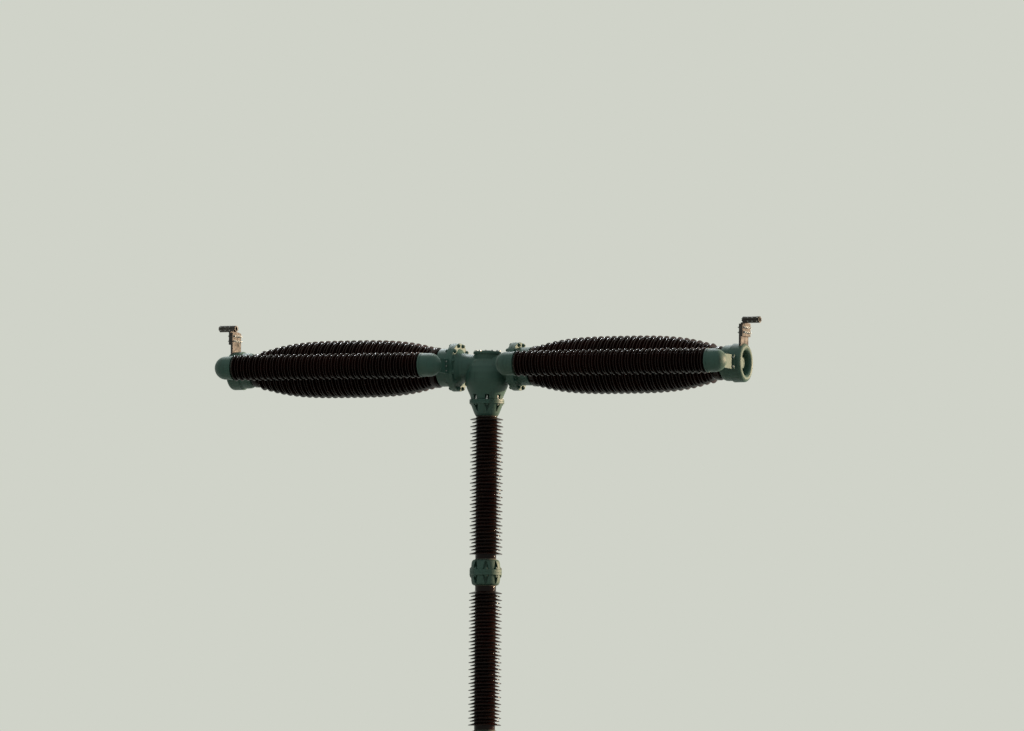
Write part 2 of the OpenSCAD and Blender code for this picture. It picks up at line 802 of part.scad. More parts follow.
module capacitor(side) {
    low = inner_cap_end - cap_seat;
    high = outer_cap_start + cap_seat;
    color(glaze)
    on_capacitor(side)
        rotate_extrude()
            polygon(concat(
                [[0, low], [cap_r, low]],
                sheds(inner_cap_end + 10, outer_cap_start - 12, cap_r, cap_shed, cap_pitch, 0),
                [[cap_r, high], [0, high]]));
}

// Domed cap: a short sleeve with a cup for the porcelain and a half-round end
module cap_profile(centre, mouth) {
    way = sign(mouth - centre);
    difference() {
        union() {
            intersection() {
                translate([0, centre]) circle(dome_r);
                translate([0, centre - (way > 0 ? dome_r : 0)]) square([dome_r, dome_r]);
            }
            translate([0, min(centre, mouth)]) square([dome_r, abs(mouth - centre)]);
            translate([0, way > 0 ? mouth - cap_bead_w : mouth]) square([dome_r + cap_bead, cap_bead_w]);
        }
        translate([0, way > 0 ? mouth - cap_seat : mouth - 1]) square([cap_r + cement_gap, cap_seat + 1]);
    }
}

module capacitor_cap(side, centre, mouth) {
    color(green)
    on_capacitor(side) rotate_extrude() cap_profile(centre, mouth);
}

// Upright plates from the domes to the bosses beside them, with a bolted foot on each boss
module brackets(x, dome_x, foot_x, foot_w, boss_r) {
    far = -boss_r - boss_t;
    color(green)
    for (side = [LEFT, RIGHT])
        difference() {
            translate([0, 0, axis_z - bracket_h / 2]) {
                translate([side * x - bracket_t / 2, -cap_offset, 0])
                    cube([bracket_t, far + cap_offset, bracket_h]);
                translate([side * foot_x - foot_w / 2, far - bracket_foot_t, 0])
                    cube([foot_w, bracket_foot_t, bracket_h]);
            }
            translate([side * dome_x, -cap_offset, axis_z]) sphere(dome_r + run_gap);
        }
}

leg(-1, -1);  // leg_front_left
leg(1, -1);  // leg_front_right
leg(-1, 1);  // leg_back_left
leg(1, 1);  // leg_back_right
lattice_side(0);  // lattice_front
lattice_side(180);  // lattice_back
lattice_side(270);  // lattice_left
lattice_side(90);  // lattice_right
head_frame();
drive_housing();
housing_covers();
rocker_lever();
drive_rod();
cabinet_rails();
mechanism_cabinet();
cabinet_door();
translate([0, 0, column_z]) column_base();  // lower_column_base
translate([0, 0, column_z]) column_insulator(fitting_h, top_neck);  // lower_column_insulator
translate([0, 0, column_z]) column_cap();  // lower_column_cap
translate([0, 0, joint_z]) column_base();  // upper_column_base
translate([0, 0, joint_z]) column_insulator(crown_h, crown_neck);  // upper_column_insulator
translate([0, 0, joint_z]) crown_cap();  // upper_column_cap
head_casting();
head_cover();
inner_fitting(LEFT);  // inner_fitting_left
inner_fitting(RIGHT);  // inner_fitting_right
interrupter(LEFT);  // interrupter_left
interrupter(RIGHT);  // interrupter_right
outer_fitting(LEFT);  // outer_fitting_left
outer_fitting(RIGHT);  // outer_fitting_right
shield_ring(LEFT);  // shield_ring_left
shield_ring(RIGHT);  // shield_ring_right
terminal_pad(LEFT);  // terminal_pad_left
terminal_pad(RIGHT);  // terminal_pad_right
terminal_clamp(LEFT);  // terminal_clamp_left
terminal_clamp(RIGHT);  // terminal_clamp_right
capacitor(LEFT);  // capacitor_left
capacitor(RIGHT);  // capacitor_right
capacitor_cap(LEFT, inner_dome_x, inner_cap_end);  // inner_cap_left
capacitor_cap(RIGHT, inner_dome_x, inner_cap_end);  // inner_cap_right
capacitor_cap(LEFT, outer_dome_x, outer_cap_start);  // outer_cap_left
capacitor_cap(RIGHT, outer_dome_x, outer_cap_start);  // outer_cap_right
brackets(inner_bracket_x, inner_dome_x, flange_boss_x, arm_flange_t, arm_flange_r);  // inner_brackets
brackets(outer_bracket_x, outer_dome_x, outer_bracket_x, ring_boss_w, ring_r);  // outer_brackets
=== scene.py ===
"""Looks of one pole of a live-tank circuit breaker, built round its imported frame."""
import json
import math

import bmesh
import bpy
from bpy.props import FloatProperty, FloatVectorProperty, IntProperty, PointerProperty
from mathutils import Matrix, Vector


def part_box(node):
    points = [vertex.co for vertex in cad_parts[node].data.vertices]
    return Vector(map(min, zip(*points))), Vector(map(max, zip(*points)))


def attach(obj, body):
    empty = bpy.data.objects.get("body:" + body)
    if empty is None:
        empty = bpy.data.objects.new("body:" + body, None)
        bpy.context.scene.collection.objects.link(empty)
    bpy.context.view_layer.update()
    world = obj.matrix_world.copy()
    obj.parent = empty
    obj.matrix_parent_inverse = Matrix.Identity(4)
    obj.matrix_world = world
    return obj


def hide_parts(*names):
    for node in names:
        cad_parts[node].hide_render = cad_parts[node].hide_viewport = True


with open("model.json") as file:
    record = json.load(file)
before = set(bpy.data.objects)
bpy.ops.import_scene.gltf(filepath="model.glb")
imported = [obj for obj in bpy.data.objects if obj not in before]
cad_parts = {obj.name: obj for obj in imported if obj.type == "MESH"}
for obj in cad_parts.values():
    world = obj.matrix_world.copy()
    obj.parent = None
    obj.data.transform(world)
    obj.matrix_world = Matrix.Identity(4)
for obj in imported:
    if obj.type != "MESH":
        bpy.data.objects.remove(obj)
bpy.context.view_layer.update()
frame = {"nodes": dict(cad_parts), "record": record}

bl_info = {
    "name": "Circuit breaker pole",
    "version": (1, 0, 0),
    "blender": (4, 5, 0),
    "location": "View3D > Sidebar > Breaker",
    "description": "Porcelain, paint, bolts and a studio for a live-tank circuit breaker pole",
    "category": "Add Mesh",
}

X, Y, Z = 0, 1, 2
BODY = "root"
UP, DOWN = (0, 0, 1), (0, 0, -1)
SIDES = {"left": -1, "right": 1}
SECTIONS = ("lower", "upper")
CORNERS = [(s, t) for s in (-1, 1) for t in (-1, 1)]
SLOTS = {row["node"]: row["material_slot"] for row in frame["record"]["subparts"]}


def ends(node, axis):
    """Lowest and highest place of a CAD node along one axis, in metres."""
    low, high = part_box(node)
    return low[axis], high[axis]


def mouths(section):
    """Heights at which the porcelain of a column section enters its fittings."""
    return ends(section + "_column_base", Z)[1], ends(section + "_column_cap", Z)[0]


def shift(x, y, z):
    return Matrix.Translation((x, y, z))


# Places and sizes that the frame gives
COLUMN_FOOT = ends("lower_column_base", Z)[0]
JOINT_Z = ends("upper_column_base", Z)[0]
COLUMN_TOP = ends("upper_column_cap", Z)[1]
FLANGE_R = ends("lower_column_base", X)[1]
HEAD_FLANGE_R = ends("upper_column_cap", X)[1]
ARM_Z = sum(ends("interrupter_right", Z)) / 2
ARM_FLANGE_R = ends("head_casting", Y)[1]
ARM_JOINT_X = ends("head_casting", X)[1]
ARM_NECK_X = ends("inner_fitting_right", X)[1]
ARM_END_X, ARM_TIP_X = ends("outer_fitting_right", X)
CAPACITOR_Y = sum(ends("capacitor_right", Y)) / 2
CAP_MOUTHS = (ends("inner_cap_right", X)[1], ends("outer_cap_right", X)[0])
COVER_TOP_Z = ends("head_cover", Z)[1]
COVER_R = ends("head_cover", X)[1]
HALF_PEDESTAL = ends("head_frame", X)[1]
FRAME_FOOT, PEDESTAL_TOP = ends("head_frame", Z)
PAD_X = ends("terminal_pad_right", X)
DOOR_LOW, DOOR_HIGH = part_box("cabinet_door")

# Sizes of the construction that a box doesn't show
COLUMN_FLANGE_T = 0.028
HEAD_FLANGE_T = 0.022
HEAD_SPOT_FACE = 0.0015
ARM_FLANGE_T = 0.035
FOOT_NECK = 0.050
TOP_NECKS = {"lower": 0.052, "upper": 0.008}
ARM_NECK = 0.095
BELLY_SHIFT = 0.040
COVER_PLATEAU_T = 0.010
LEG_T = BEAM_T = 0.009
BRACE_T = 0.006
CAP_PLATE_T = 0.012
DRIVE_BASE_T = FOOT_PLATE_T = 0.025
ANCHOR_OFFSET = 0.090
BRACE_LEVELS = [0.3 + 0.6 * i for i in range(5)]
BRACE_FACE = HALF_PEDESTAL - LEG_T
LEG_MID = HALF_PEDESTAL - 0.045
BRACKET_FOOT_T = 0.012
BRACKET_BOSS_T = 0.014
CLAMP_R = 0.032
CLAMP_ROWS = (0.060, 0.108, 0.156)
PALM_T, PALM_H, PALM_GAP = 0.020, 0.132, 0.004
PAD_BOLT_PITCH = 0.050
CAPACITOR_MARGIN = 0.012

# Places of the bolts: insets from an edge, radii and half distances
COLUMN_BOLT_INSET = 0.019
HEAD_BOLT_INSET = 0.027
ARM_BOLT_INSET = 0.021
COVER_BOLT_INSET, SIDE_COVER_BOLT_INSET = 0.017, 0.016
END_COVER_BOLT_R = 0.082
CLAMP_SCREW_Y, CLAMP_LUG_T = 0.038, 0.014
INNER_BRACKET_X, OUTER_BRACKET_INSET = 0.0065, 0.030
OUTER_BOLT_X, BRACKET_BOLT_Z = 0.020, 0.046
DRIVE_BOLTS_X, DRIVE_BOLT_Y = (0.160, 0.200), 0.245
FRAME_BOLT_INSETS = (0.080, 0.035)
HALF_RAIL, RAIL_BOLT_X = 0.040, 0.018
LEVEL_BOLT_X, DIAGONAL_BOLT_X, DIAGONAL_BOLT_Z = 0.012, 0.028, 0.036


# Colours and settings

def linear(value):
    """Linear strength of one 0 to 255 value of a screen colour."""
    value /= 255
    return value / 12.92 if value <= 0.04045 else ((value + 0.055) / 1.055) ** 2.4


def colour_property(name, description, *screen):
    """A colour with its default as the red, green and blue of a screen colour."""
    return FloatVectorProperty(name=name, description=description, size=4, min=0.0, max=1.0,
                               default=(*map(linear, screen), 1.0), subtype="COLOR")


def length_property(name, description, default, high=1.0):
    return FloatProperty(name=name, description=description, default=default, min=0.0, max=high,
                         subtype="DISTANCE", unit="LENGTH")


class BreakerPorcelain(bpy.types.PropertyGroup):
    glaze: colour_property("Glaze", "Brown of the glaze in its deepest parts", 24, 12, 10)
    thin_glaze: colour_property("Thin glaze", "Redder brown where the glaze lies thin", 62, 28, 22)
    shed_edge: colour_property("Shed edge", "Brown of the thinnest glaze, on the edges of the sheds",
                               84, 40, 31)
    dust: colour_property("Dust", "Dust that lies on top of the sheds", 128, 116, 100)
    column_reach: length_property("Column shed", "Reach of a large column shed beyond the body", 0.061)
    column_pitch: length_property("Column pitch", "Distance between large column sheds", 0.070)
    column_droop: length_property("Column droop", "How far a large column shed hangs down", 0.013)
    arm_reach: length_property("Interrupter shed", "Reach of a large interrupter shed beyond the body", 0.052)
    arm_pitch: length_property("Interrupter pitch", "Distance between large interrupter sheds", 0.070)
    arm_root: length_property("Interrupter body", "Radius of the interrupter under its first shed", 0.145)
    arm_belly: length_property("Interrupter belly", "Extra radius of the interrupter at its middle", 0.090)
    capacitor_reach: length_property("Capacitor shed", "Reach of a large shed beyond the capacitor's body",
                                     0.048)
    capacitor_pitch: length_property("Capacitor pitch", "Distance between large capacitor sheds", 0.063)


class BreakerPaint(bpy.types.PropertyGroup):
    casting: colour_property("Casting paint", "Grey-green paint of the castings", 60, 96, 86)
    casting_faded: colour_property("Faded casting paint", "The same paint where the weather chalked it",
                                   82, 102, 90)
    pedestal: colour_property("Pedestal paint", "Green paint of the lattice pedestal", 62, 86, 66)
    pedestal_faded: colour_property("Faded pedestal paint", "The same paint where the weather chalked it",
                                    88, 106, 82)
    cabinet: colour_property("Cabinet paint", "Pale green paint of the cabinet and covers", 112, 130, 112)
    cabinet_faded: colour_property("Faded cabinet paint", "The same paint where the weather chalked it",
                                   138, 150, 130)
    grime: colour_property("Grime", "Dark soot that runs down from edges", 38, 42, 34)
    rust: colour_property("Rust", "Brown of small rust spots", 104, 58, 30)
    dust: colour_property("Dust", "Dust that lies on top of painted parts", 126, 124, 104)


class BreakerMetal(bpy.types.PropertyGroup):
    aluminium: colour_property("Aluminium", "Bare cast aluminium of pads and clamps", 92, 87, 83)
    oxide: colour_property("Oxide", "Cloudy oxide on the aluminium", 66, 62, 60)
    zinc_dark: colour_property("Dark zinc", "Darkest crystals of the zinc", 148, 152, 152)
    zinc_pale: colour_property("Pale zinc", "Palest crystals of the zinc", 182, 184, 182)
    bloom: colour_property("Zinc bloom", "Dull white bloom on the zinc", 196, 195, 188)
    cement_dark: colour_property("Dark cement", "Dark grains of the joint cement", 92, 90, 82)
    cement_pale: colour_property("Pale cement", "Pale grains of the joint cement", 138, 134, 122)
    cement_stain: colour_property("Cement stain", "Damp stains on the joint cement", 60, 60, 54)


class BreakerBolts(bpy.types.PropertyGroup):
    anchor: length_property("Anchor bolt", "Diameter of an anchor bolt", 0.030, 0.1)
    arm: length_property("Arm flange bolt", "Diameter of a bolt of the arm flanges", 0.022, 0.1)
    column: length_property("Column flange bolt", "Diameter of a bolt of the column flanges", 0.020, 0.1)
    bracket: length_property("Bracket bolt", "Diameter of a bolt of a capacitor bracket", 0.016, 0.1)
    terminal: length_property("Terminal bolt", "Diameter of a bolt of the terminal pads", 0.014, 0.1)
    cover: length_property("Cover bolt", "Diameter of a bolt of the covers", 0.012, 0.1)
    seed: IntProperty(name="Seed", description="Seed of the heads' random turns", default=7, min=0)


class BreakerStage(bpy.types.PropertyGroup):
    azimuth: FloatProperty(name="Azimuth", description="Camera's bearing from the column, from -Y towards +X",
                           default=math.radians(22.05), subtype="ANGLE", unit="ROTATION")
    distance: length_property("Distance", "Level distance from the column to the camera", 104.85, 1000.0)
    height: length_property("Height", "Camera's height over the feet", 1.324, 100.0)
    lens: FloatProperty(name="Lens", description="Focal length on a 36 mm wide sensor", default=374.1,
                        min=20.0, unit="CAMERA")
    sky: colour_property("Background", "Pale background", 208, 211, 201)
    floor: colour_property("Floor", "Pale floor", 226, 227, 220)
    bounce: colour_property("Bounce", "Colour that the floor throws back onto the pole", 88, 88, 74)
    sky_light: colour_property("Sky light", "Colour of the light from overhead", 200, 222, 226)
    ground_light: colour_property("Ground light", "Colour of the light from the sides and below",
                                  204, 202, 184)
    sun: FloatProperty(name="Sun", description="Strength of the low warm key light", default=6.0, min=0.0)
    fill: FloatProperty(name="Fill", description="Strength of the light from all round", default=0.38,
                        min=0.0)


# Node trees

def maths(operation):
    """A sign of a formula: joins a term to others with one maths node."""
    def join(term, *others):
        return term.graph.math(operation, term, *others)
    return join


class Term:
    """A node's output in a formula, in which sums, products and the like become nodes too."""
    __add__, __sub__, __mul__ = maths("ADD"), maths("SUBTRACT"), maths("MULTIPLY")
    __truediv__, __pow__, __abs__ = maths("DIVIDE"), maths("POWER"), maths("ABSOLUTE")
    __gt__, __lt__ = maths("GREATER_THAN"), maths("LESS_THAN")

    def __init__(self, graph, socket):
        self.graph, self.socket = graph, socket

    def __rsub__(self, other):
        return self.graph.math("SUBTRACT", other, self)


class Graph:
    """Adds nodes to one tree and joins them."""

    def __init__(self, tree):
        self.nodes = tree.nodes
        self.links = tree.links

    def put(self, kind, wires=None, **settings):
        """A new node with its settings, its inputs joined to outputs or set to values."""
        node = self.nodes.new(kind)
        for name, value in settings.items():
            setattr(node, name, value)
        for key, value in (wires or {}).items():
            self.feed(node.inputs[key], value)
        return node

    def feed(self, entry, value):
        """Joins a term or an output to an input, or sets the input's own value."""
        value = getattr(value, "socket", value)
        if isinstance(value, bpy.types.NodeSocket):
            self.links.new(value, entry)
        else:
            entry.default_value = value

    def out(self, kind, wires=None, output=0, **settings):
        """One output of a new node as a term."""
        return Term(self, self.put(kind, wires, **settings).outputs[output])

    def math(self, operation, *terms):
        return self.out("ShaderNodeMath", dict(enumerate(terms)), operation=operation)

    def split(self, vector):
        """The three parts of a vector."""
        return [Term(self, part) for part in self.put("ShaderNodeSeparateXYZ", {0: vector}).outputs]

    def vector(self, *parts):
        return self.out("ShaderNodeCombineXYZ", dict(enumerate(parts)))

    def ease(self, value, low, high):
        """Smooth step from 0 to 1 while a value goes from low to high."""
        return self.out("ShaderNodeMapRange", {0: value, 1: low, 2: high}, interpolation_type="SMOOTHSTEP")

    def blend(self, factor, first, second):
        """Mix of two colours."""
        return self.out("ShaderNodeMix", {0: factor, 6: first, 7: second}, 2, data_type="RGBA")


def new_tree(name, counts, measures):
    """An empty Geometry Nodes tree that takes a mesh, counts, measures and a material.

    Gives its group, its graph and its inputs by name.
    """
    tree = bpy.data.node_groups.new(name, "GeometryNodeTree")
    tree.interface.new_socket(name="Geometry", in_out="OUTPUT", socket_type="NodeSocketGeometry")
    kinds = {"Geometry": "Geometry", "Material": "Material", **dict.fromkeys(counts, "Int"),
             **dict.fromkeys(measures, "Float")}
    for label, kind in kinds.items():
        tree.interface.new_socket(name=label, in_out="INPUT", socket_type="NodeSocket" + kind)
    graph = Graph(tree)
    entry = {socket.name: Term(graph, socket) for socket in graph.put("NodeGroupInput").outputs}
    return tree, graph, entry


def close_tree(graph, geometry, material):
    """Ends a tree: real geometry with its material."""
    real = graph.out("GeometryNodeRealizeInstances", {0: geometry})
    painted_mesh = graph.out("GeometryNodeSetMaterial", {0: real, "Material": material})
    graph.put("NodeGroupOutput", {0: painted_mesh})


def new_object(name, data):
    """A new object in the scene."""
    thing = bpy.data.objects.new(name, data)
    bpy.context.scene.collection.objects.link(thing)
    return thing


def grow(name, tree, values, mesh):
    """Runs a Geometry Nodes tree on a mesh and gives the plain mesh that it makes."""
    host = new_object(name, mesh)
    modifier = host.modifiers.new(tree.name, "NODES")
    modifier.node_group = tree
    for socket in tree.interface.items_tree:
        if socket.in_out == "INPUT" and socket.name in values:
            modifier[socket.identifier] = values[socket.name]
    depsgraph = bpy.context.evaluated_depsgraph_get()
    result = bpy.data.meshes.new_from_object(host.evaluated_get(depsgraph), depsgraph=depsgraph)
    bpy.data.objects.remove(host)
    return result


def add_piece(name, mesh, stands_for=()):
    """Puts a finished mesh into the scene as a piece of the object and hides the CAD nodes that it stands
    for.
    """
    mesh.name = name
    piece = new_object(name, mesh)
    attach(piece, BODY)
    if stands_for:
        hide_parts(*stands_for)


# Finishes

class Finish(Graph):
    """The graph of a new material, with its shader and the object's own coordinates."""

    def __init__(self, name):
        self.material = bpy.data.materials.new(name + "_finish")
        self.material.use_nodes = True
        super().__init__(self.material.node_tree)
        self.shader = self.nodes["Principled BSDF"]
        self.place = self.out("ShaderNodeTexCoord", output="Object")

    def noise(self, scale, detail, stretch=None):
        place = self.place
        if stretch is not None:
            place = self.out("ShaderNodeMapping", {"Vector": place, "Scale": stretch})
        return self.out("ShaderNodeTexNoise", {"Vector": place, "Scale": scale, "Detail": detail})

    def clouds(self, scale, detail, low, high, stretch=None):
        """Clouds with soft edges, 0 where the noise is under low and 1 where it is over high."""
        return self.ease(self.noise(scale, detail, stretch), low, high)

    def facing_up(self):
        """How far a surface faces up, from 0 on a wall to 1 on a roof."""
        normal = self.out("ShaderNodeNewGeometry", output="Normal")
        return self.ease(self.split(normal)[Z], 0.35, 0.95)

    def close(self, colour, rough, height, distance, strength=1.0, metallic=0.0, specular=0.5):
        """Feeds the shader, the height by way of a bump, and gives the material."""
        bump = self.out("ShaderNodeBump", {"Height": height, "Distance": distance, "Strength": strength})
        inputs = {"Base Color": colour, "Roughness": rough, "Metallic": metallic,
                  "Specular IOR Level": specular, "Normal": bump}
        for name, value in inputs.items():
            self.feed(self.shader.inputs[name], value)
        return self.material


def painted(kind, grain, rust_share, gloss):
    """Weathered paint: chalked patches, soot that runs down, dust on top, rust spots and a grain."""
    paint = bpy.context.scene.breaker_paint
    fresh, faded = getattr(paint, kind), getattr(paint, kind + "_faded")
    graph = Finish(kind + "_paint")
    patches = graph.clouds(1.6, 5.0, 0.36, 0.66)
    mottle = graph.clouds(14.0, 4.0, 0.35, 0.7)
    runs = graph.clouds(1.0, 4.0, 0.5, 0.76, stretch=(26.0, 26.0, 1.4))
    specks = graph.clouds(130.0, 2.0, 0.66, 0.74)
    dust = graph.facing_up() * graph.clouds(5.0, 5.0, 0.25, 0.7) * 0.25
    spots = graph.clouds(23.0, 6.0, 0.74 - 0.1 * rust_share, 0.79 - 0.1 * rust_share)
    colour = graph.blend(patches * 0.55, fresh, faded)
    colour = graph.blend(mottle * 0.16, colour, faded)
    colour = graph.blend(runs * 0.42, colour, paint.grime)
    colour = graph.blend(specks * 0.35, colour, paint.grime)
    colour = graph.blend(dust, colour, paint.dust)
    colour = graph.blend(spots, colour, paint.rust)
    rough = graph.math("MINIMUM", patches * 0.14 + dust * 0.5 + spots * 0.35 + gloss, 0.9)
    bumps = graph.noise(grain, 3.0) + graph.noise(16.0, 2.0) * 1.5 + spots * -0.8
    return graph.close(colour, rough, bumps, 0.0006, specular=0.42)


def casting_paint():
    return painted("casting", grain=420.0, rust_share=0.0, gloss=0.46)


def pedestal_paint():
    return painted("pedestal", grain=260.0, rust_share=1.0, gloss=0.42)


def cabinet_paint():
    return painted("cabinet", grain=300.0, rust_share=0.4, gloss=0.34)


def brown_glaze():
    """Deep brown glaze: wavy and glossy, thin and redder at the shed edges, dusty on top."""
    porcelain = bpy.context.scene.breaker_porcelain
    graph = Finish("brown_glaze")
    reach = graph.out("ShaderNodeAttribute", output="Fac", attribute_name="shed")
    depth = graph.clouds(2.5, 5.0, 0.3, 0.7)
    flow = graph.clouds(40.0, 3.0, 0.3, 0.8)
    edge = graph.ease(reach, 0.88, 1.0)
    dust = graph.facing_up() * graph.clouds(7.0, 6.0, 0.35, 0.75) * 0.1
    colour = graph.blend(depth * 0.5, porcelain.glaze, porcelain.thin_glaze)
    colour = graph.blend(flow * 0.25, colour, porcelain.thin_glaze)
    colour = graph.blend(edge * 0.15, colour, porcelain.shed_edge)
    colour = graph.blend(dust, colour, porcelain.dust)
    rough = flow * 0.05 + dust * 1.6 + 0.09
    return graph.close(colour, rough, graph.noise(30.0, 2.0), 0.0006, 0.5, specular=0.12)


def bare_aluminium():
    """Cast aluminium left bare: cloudy oxide, fine drawn lines and grime."""
    metal, paint = bpy.context.scene.breaker_metal, bpy.context.scene.breaker_paint
    graph = Finish("bare_aluminium")
    oxide = graph.clouds(26.0, 6.0, 0.3, 0.72)
    lines = graph.noise(1.0, 2.0, stretch=(60.0, 60.0, 900.0))
    stains = graph.clouds(9.0, 5.0, 0.52, 0.72)
    colour = graph.blend(oxide, metal.aluminium, metal.oxide)
    colour = graph.blend(stains * 0.55, colour, paint.grime)
    rough = oxide * 0.12 + stains * 0.1 + 0.6
    return graph.close(colour, rough, graph.noise(300.0, 3.0) + lines * 0.6, 0.0004, metallic=0.75)


def galvanised_steel():
    """Hot-dip zinc: crystal spangle with dull white bloom."""
    metal = bpy.context.scene.breaker_metal
    graph = Finish("galvanised_steel")
    spangle = graph.out("ShaderNodeTexVoronoi", {"Vector": graph.place, "Scale": 95.0}, "Color")
    crystal = graph.split(spangle)[X]
    bloom = graph.clouds(12.0, 5.0, 0.45, 0.75)
    colour = graph.blend(crystal, metal.zinc_dark, metal.zinc_pale)
    colour = graph.blend(bloom * 0.5, colour, metal.bloom)
    rough = crystal * 0.12 + bloom * 0.3 + 0.32
    return graph.close(colour, rough, graph.noise(500.0, 2.0), 0.0003, 0.6, metallic=0.7)


def joint_cement():
    """Grey sealing fillet where porcelain enters a casting."""
    metal = bpy.context.scene.breaker_metal
    graph = Finish("joint_cement")
    grains = graph.noise(180.0, 5.0)
    stain = graph.clouds(8.0, 4.0, 0.4, 0.7)
    colour = graph.blend(grains, metal.cement_dark, metal.cement_pale)
    colour = graph.blend(stain * 0.5, colour, metal.cement_stain)
    return graph.close(colour, 0.85, grains, 0.0012)


FINISHES = {make.__name__: make for make in (
    casting_paint, pedestal_paint, cabinet_paint, brown_glaze, bare_aluminium, galvanised_steel,
    joint_cement)}


def finish(name):
    """The finish of that name, made when it is first asked for."""
    return bpy.data.materials.get(name + "_finish") or FINISHES[name]()


# Porcelain

def porcelain_tree():
    """Tree of a shedded porcelain body: a grid that is wrapped round the axis.

    Each row of the grid is a place q along the body, counted in sheds. The whole part of q is the
    shed, and its fraction runs over that shed from root to tip and back. The body's radius swells
    to a belly in the middle, and each neck rises from it and drops into the cup of its fitting.
    """
    tree, graph, entry = new_tree("Shedded porcelain", ["Sheds", "Rows", "Around", "Neck Steps"], [
        "Step", "Body", "Belly", "Belly Power", "Belly Shift", "Reach", "Small Shed", "Droop",
        "First Rise", "First Drop", "First Neck", "Last Rise", "Last Drop", "Last Neck"])
    sheds, neck, step = entry["Sheds"], entry["Neck Steps"], entry["Step"]
    span = sheds + neck * 2.0
    grid = graph.out("GeometryNodeMeshGrid", {
        "Size X": 1.0, "Size Y": 1.0, "Vertices X": entry["Around"] + 1.0,
        "Vertices Y": span * entry["Rows"] + 1.0})
    flat = graph.split(graph.out("GeometryNodeInputPosition"))
    angle = (flat[X] + 0.5) * math.tau
    q = (flat[Y] + 0.5) * span - neck

    shed = graph.math("FLOOR", q + 0.0001)
    sweep = (q - shed) * 2.0 - 1.0
    away = abs(sweep)
    shape = graph.math("MAXIMUM", 1.0 - (away / 0.75) ** 2.2, 0.0) ** 1.2
    shape = shape * ((q > -0.001) * (q < sheds))
    odd = graph.math("FLOORED_MODULO", shed, 2.0)
    reach = shape * (1.0 - odd * (1.0 - entry["Small Shed"]))

    bluntness = graph.math("SQRT", away) * 0.55 + away ** 5.0 * 0.45
    lift = graph.math("SIGN", sweep) * bluntness * 0.5
    height = (shed + lift + 0.5) * step - entry["Droop"] * reach
    along = height / (sheds * step)
    off_middle = graph.math("MINIMUM", abs(along * 2.0 + entry["Belly Shift"] - 1.0), 1.0)
    belly = entry["Belly"] * (1.0 - off_middle ** entry["Belly Power"])

    def neck_change(beyond, end):
        """Rise and drop of the body's radius at a distance beyond the last shed."""
        length = entry[end + " Neck"]
        rise = graph.ease(beyond, 0.0, length * 0.37)
        drop = graph.ease(beyond, length * 0.74, length)
        return entry[end + " Rise"] * rise - entry[end + " Drop"] * drop

    first = neck_change(height * -1.0, "First")
    last = neck_change(height - sheds * step, "Last")
    radius = entry["Body"] + belly + first + last + entry["Reach"] * reach
    radius = radius * (abs(q - sheds * 0.5) < span * 0.5 - 0.01)

    place = graph.vector(radius * graph.math("COSINE", angle), radius * graph.math("SINE", angle), height)
    marked = graph.out("GeometryNodeStoreNamedAttribute", {0: grid, "Name": "shed", "Value": shape})
    turned = graph.out("GeometryNodeSetPosition", {0: marked, "Position": place})
    closed = graph.out("GeometryNodeMergeByDistance", {0: turned, "Distance": 0.00005})
    smooth = graph.out("GeometryNodeSetShadeSmooth", {0: closed})
    close_tree(graph, smooth, entry["Material"])
    return tree


def grow_porcelain(name, start, end, pitch, values, place, stands_for):
    """Grows one porcelain body between two places on its axis and puts it where it belongs.

    An input of the tree that values leaves out stays at nought, such as the belly of a straight body.
    """
    tree = bpy.data.node_groups.get("Shedded porcelain") or porcelain_tree()
    count = 2 * math.floor((end - start) / pitch) + 1
    values = {"Sheds": count, "Step": (end - start) / count, "Rows": 10,
              "Material": finish("brown_glaze"), **values}
    mesh = grow(name, tree, values, bpy.data.meshes.new(name))
    mesh.transform(place @ shift(0, 0, start))
    add_piece(name, mesh, [stands_for])


def along_arm(side, y=0.0):
    """Turns a body that stands on Z so that it lies along an arm, pointing away from the column."""
    return shift(0, y, ARM_Z) @ Matrix.Rotation(side * math.pi / 2, 4, "Y")


class BREAKER_OT_column_porcelain(bpy.types.Operator):
    """Makes the two shedded porcelain bodies of the column"""
    bl_idname = "breaker.column_porcelain"
    bl_label = "Column porcelain"

    def execute(self, context):
        sizes = context.scene.breaker_porcelain
        for section in SECTIONS:
            node = section + "_column_insulator"
            foot, head = mouths(section)
            start, end = foot + FOOT_NECK, head - TOP_NECKS[section]
            values = {"Around": 72, "Neck Steps": 2, "Body": ends(node, X)[1] - sizes.column_reach,
                      "Reach": sizes.column_reach, "Small Shed": 0.72, "Droop": sizes.column_droop,
                      "First Drop": 0.006, "First Neck": FOOT_NECK,
                      "Last Drop": 0.006, "Last Neck": TOP_NECKS[section]}
            grow_porcelain("porcelain_" + section, start, end, sizes.column_pitch, values, Matrix(), node)
        return {"FINISHED"}


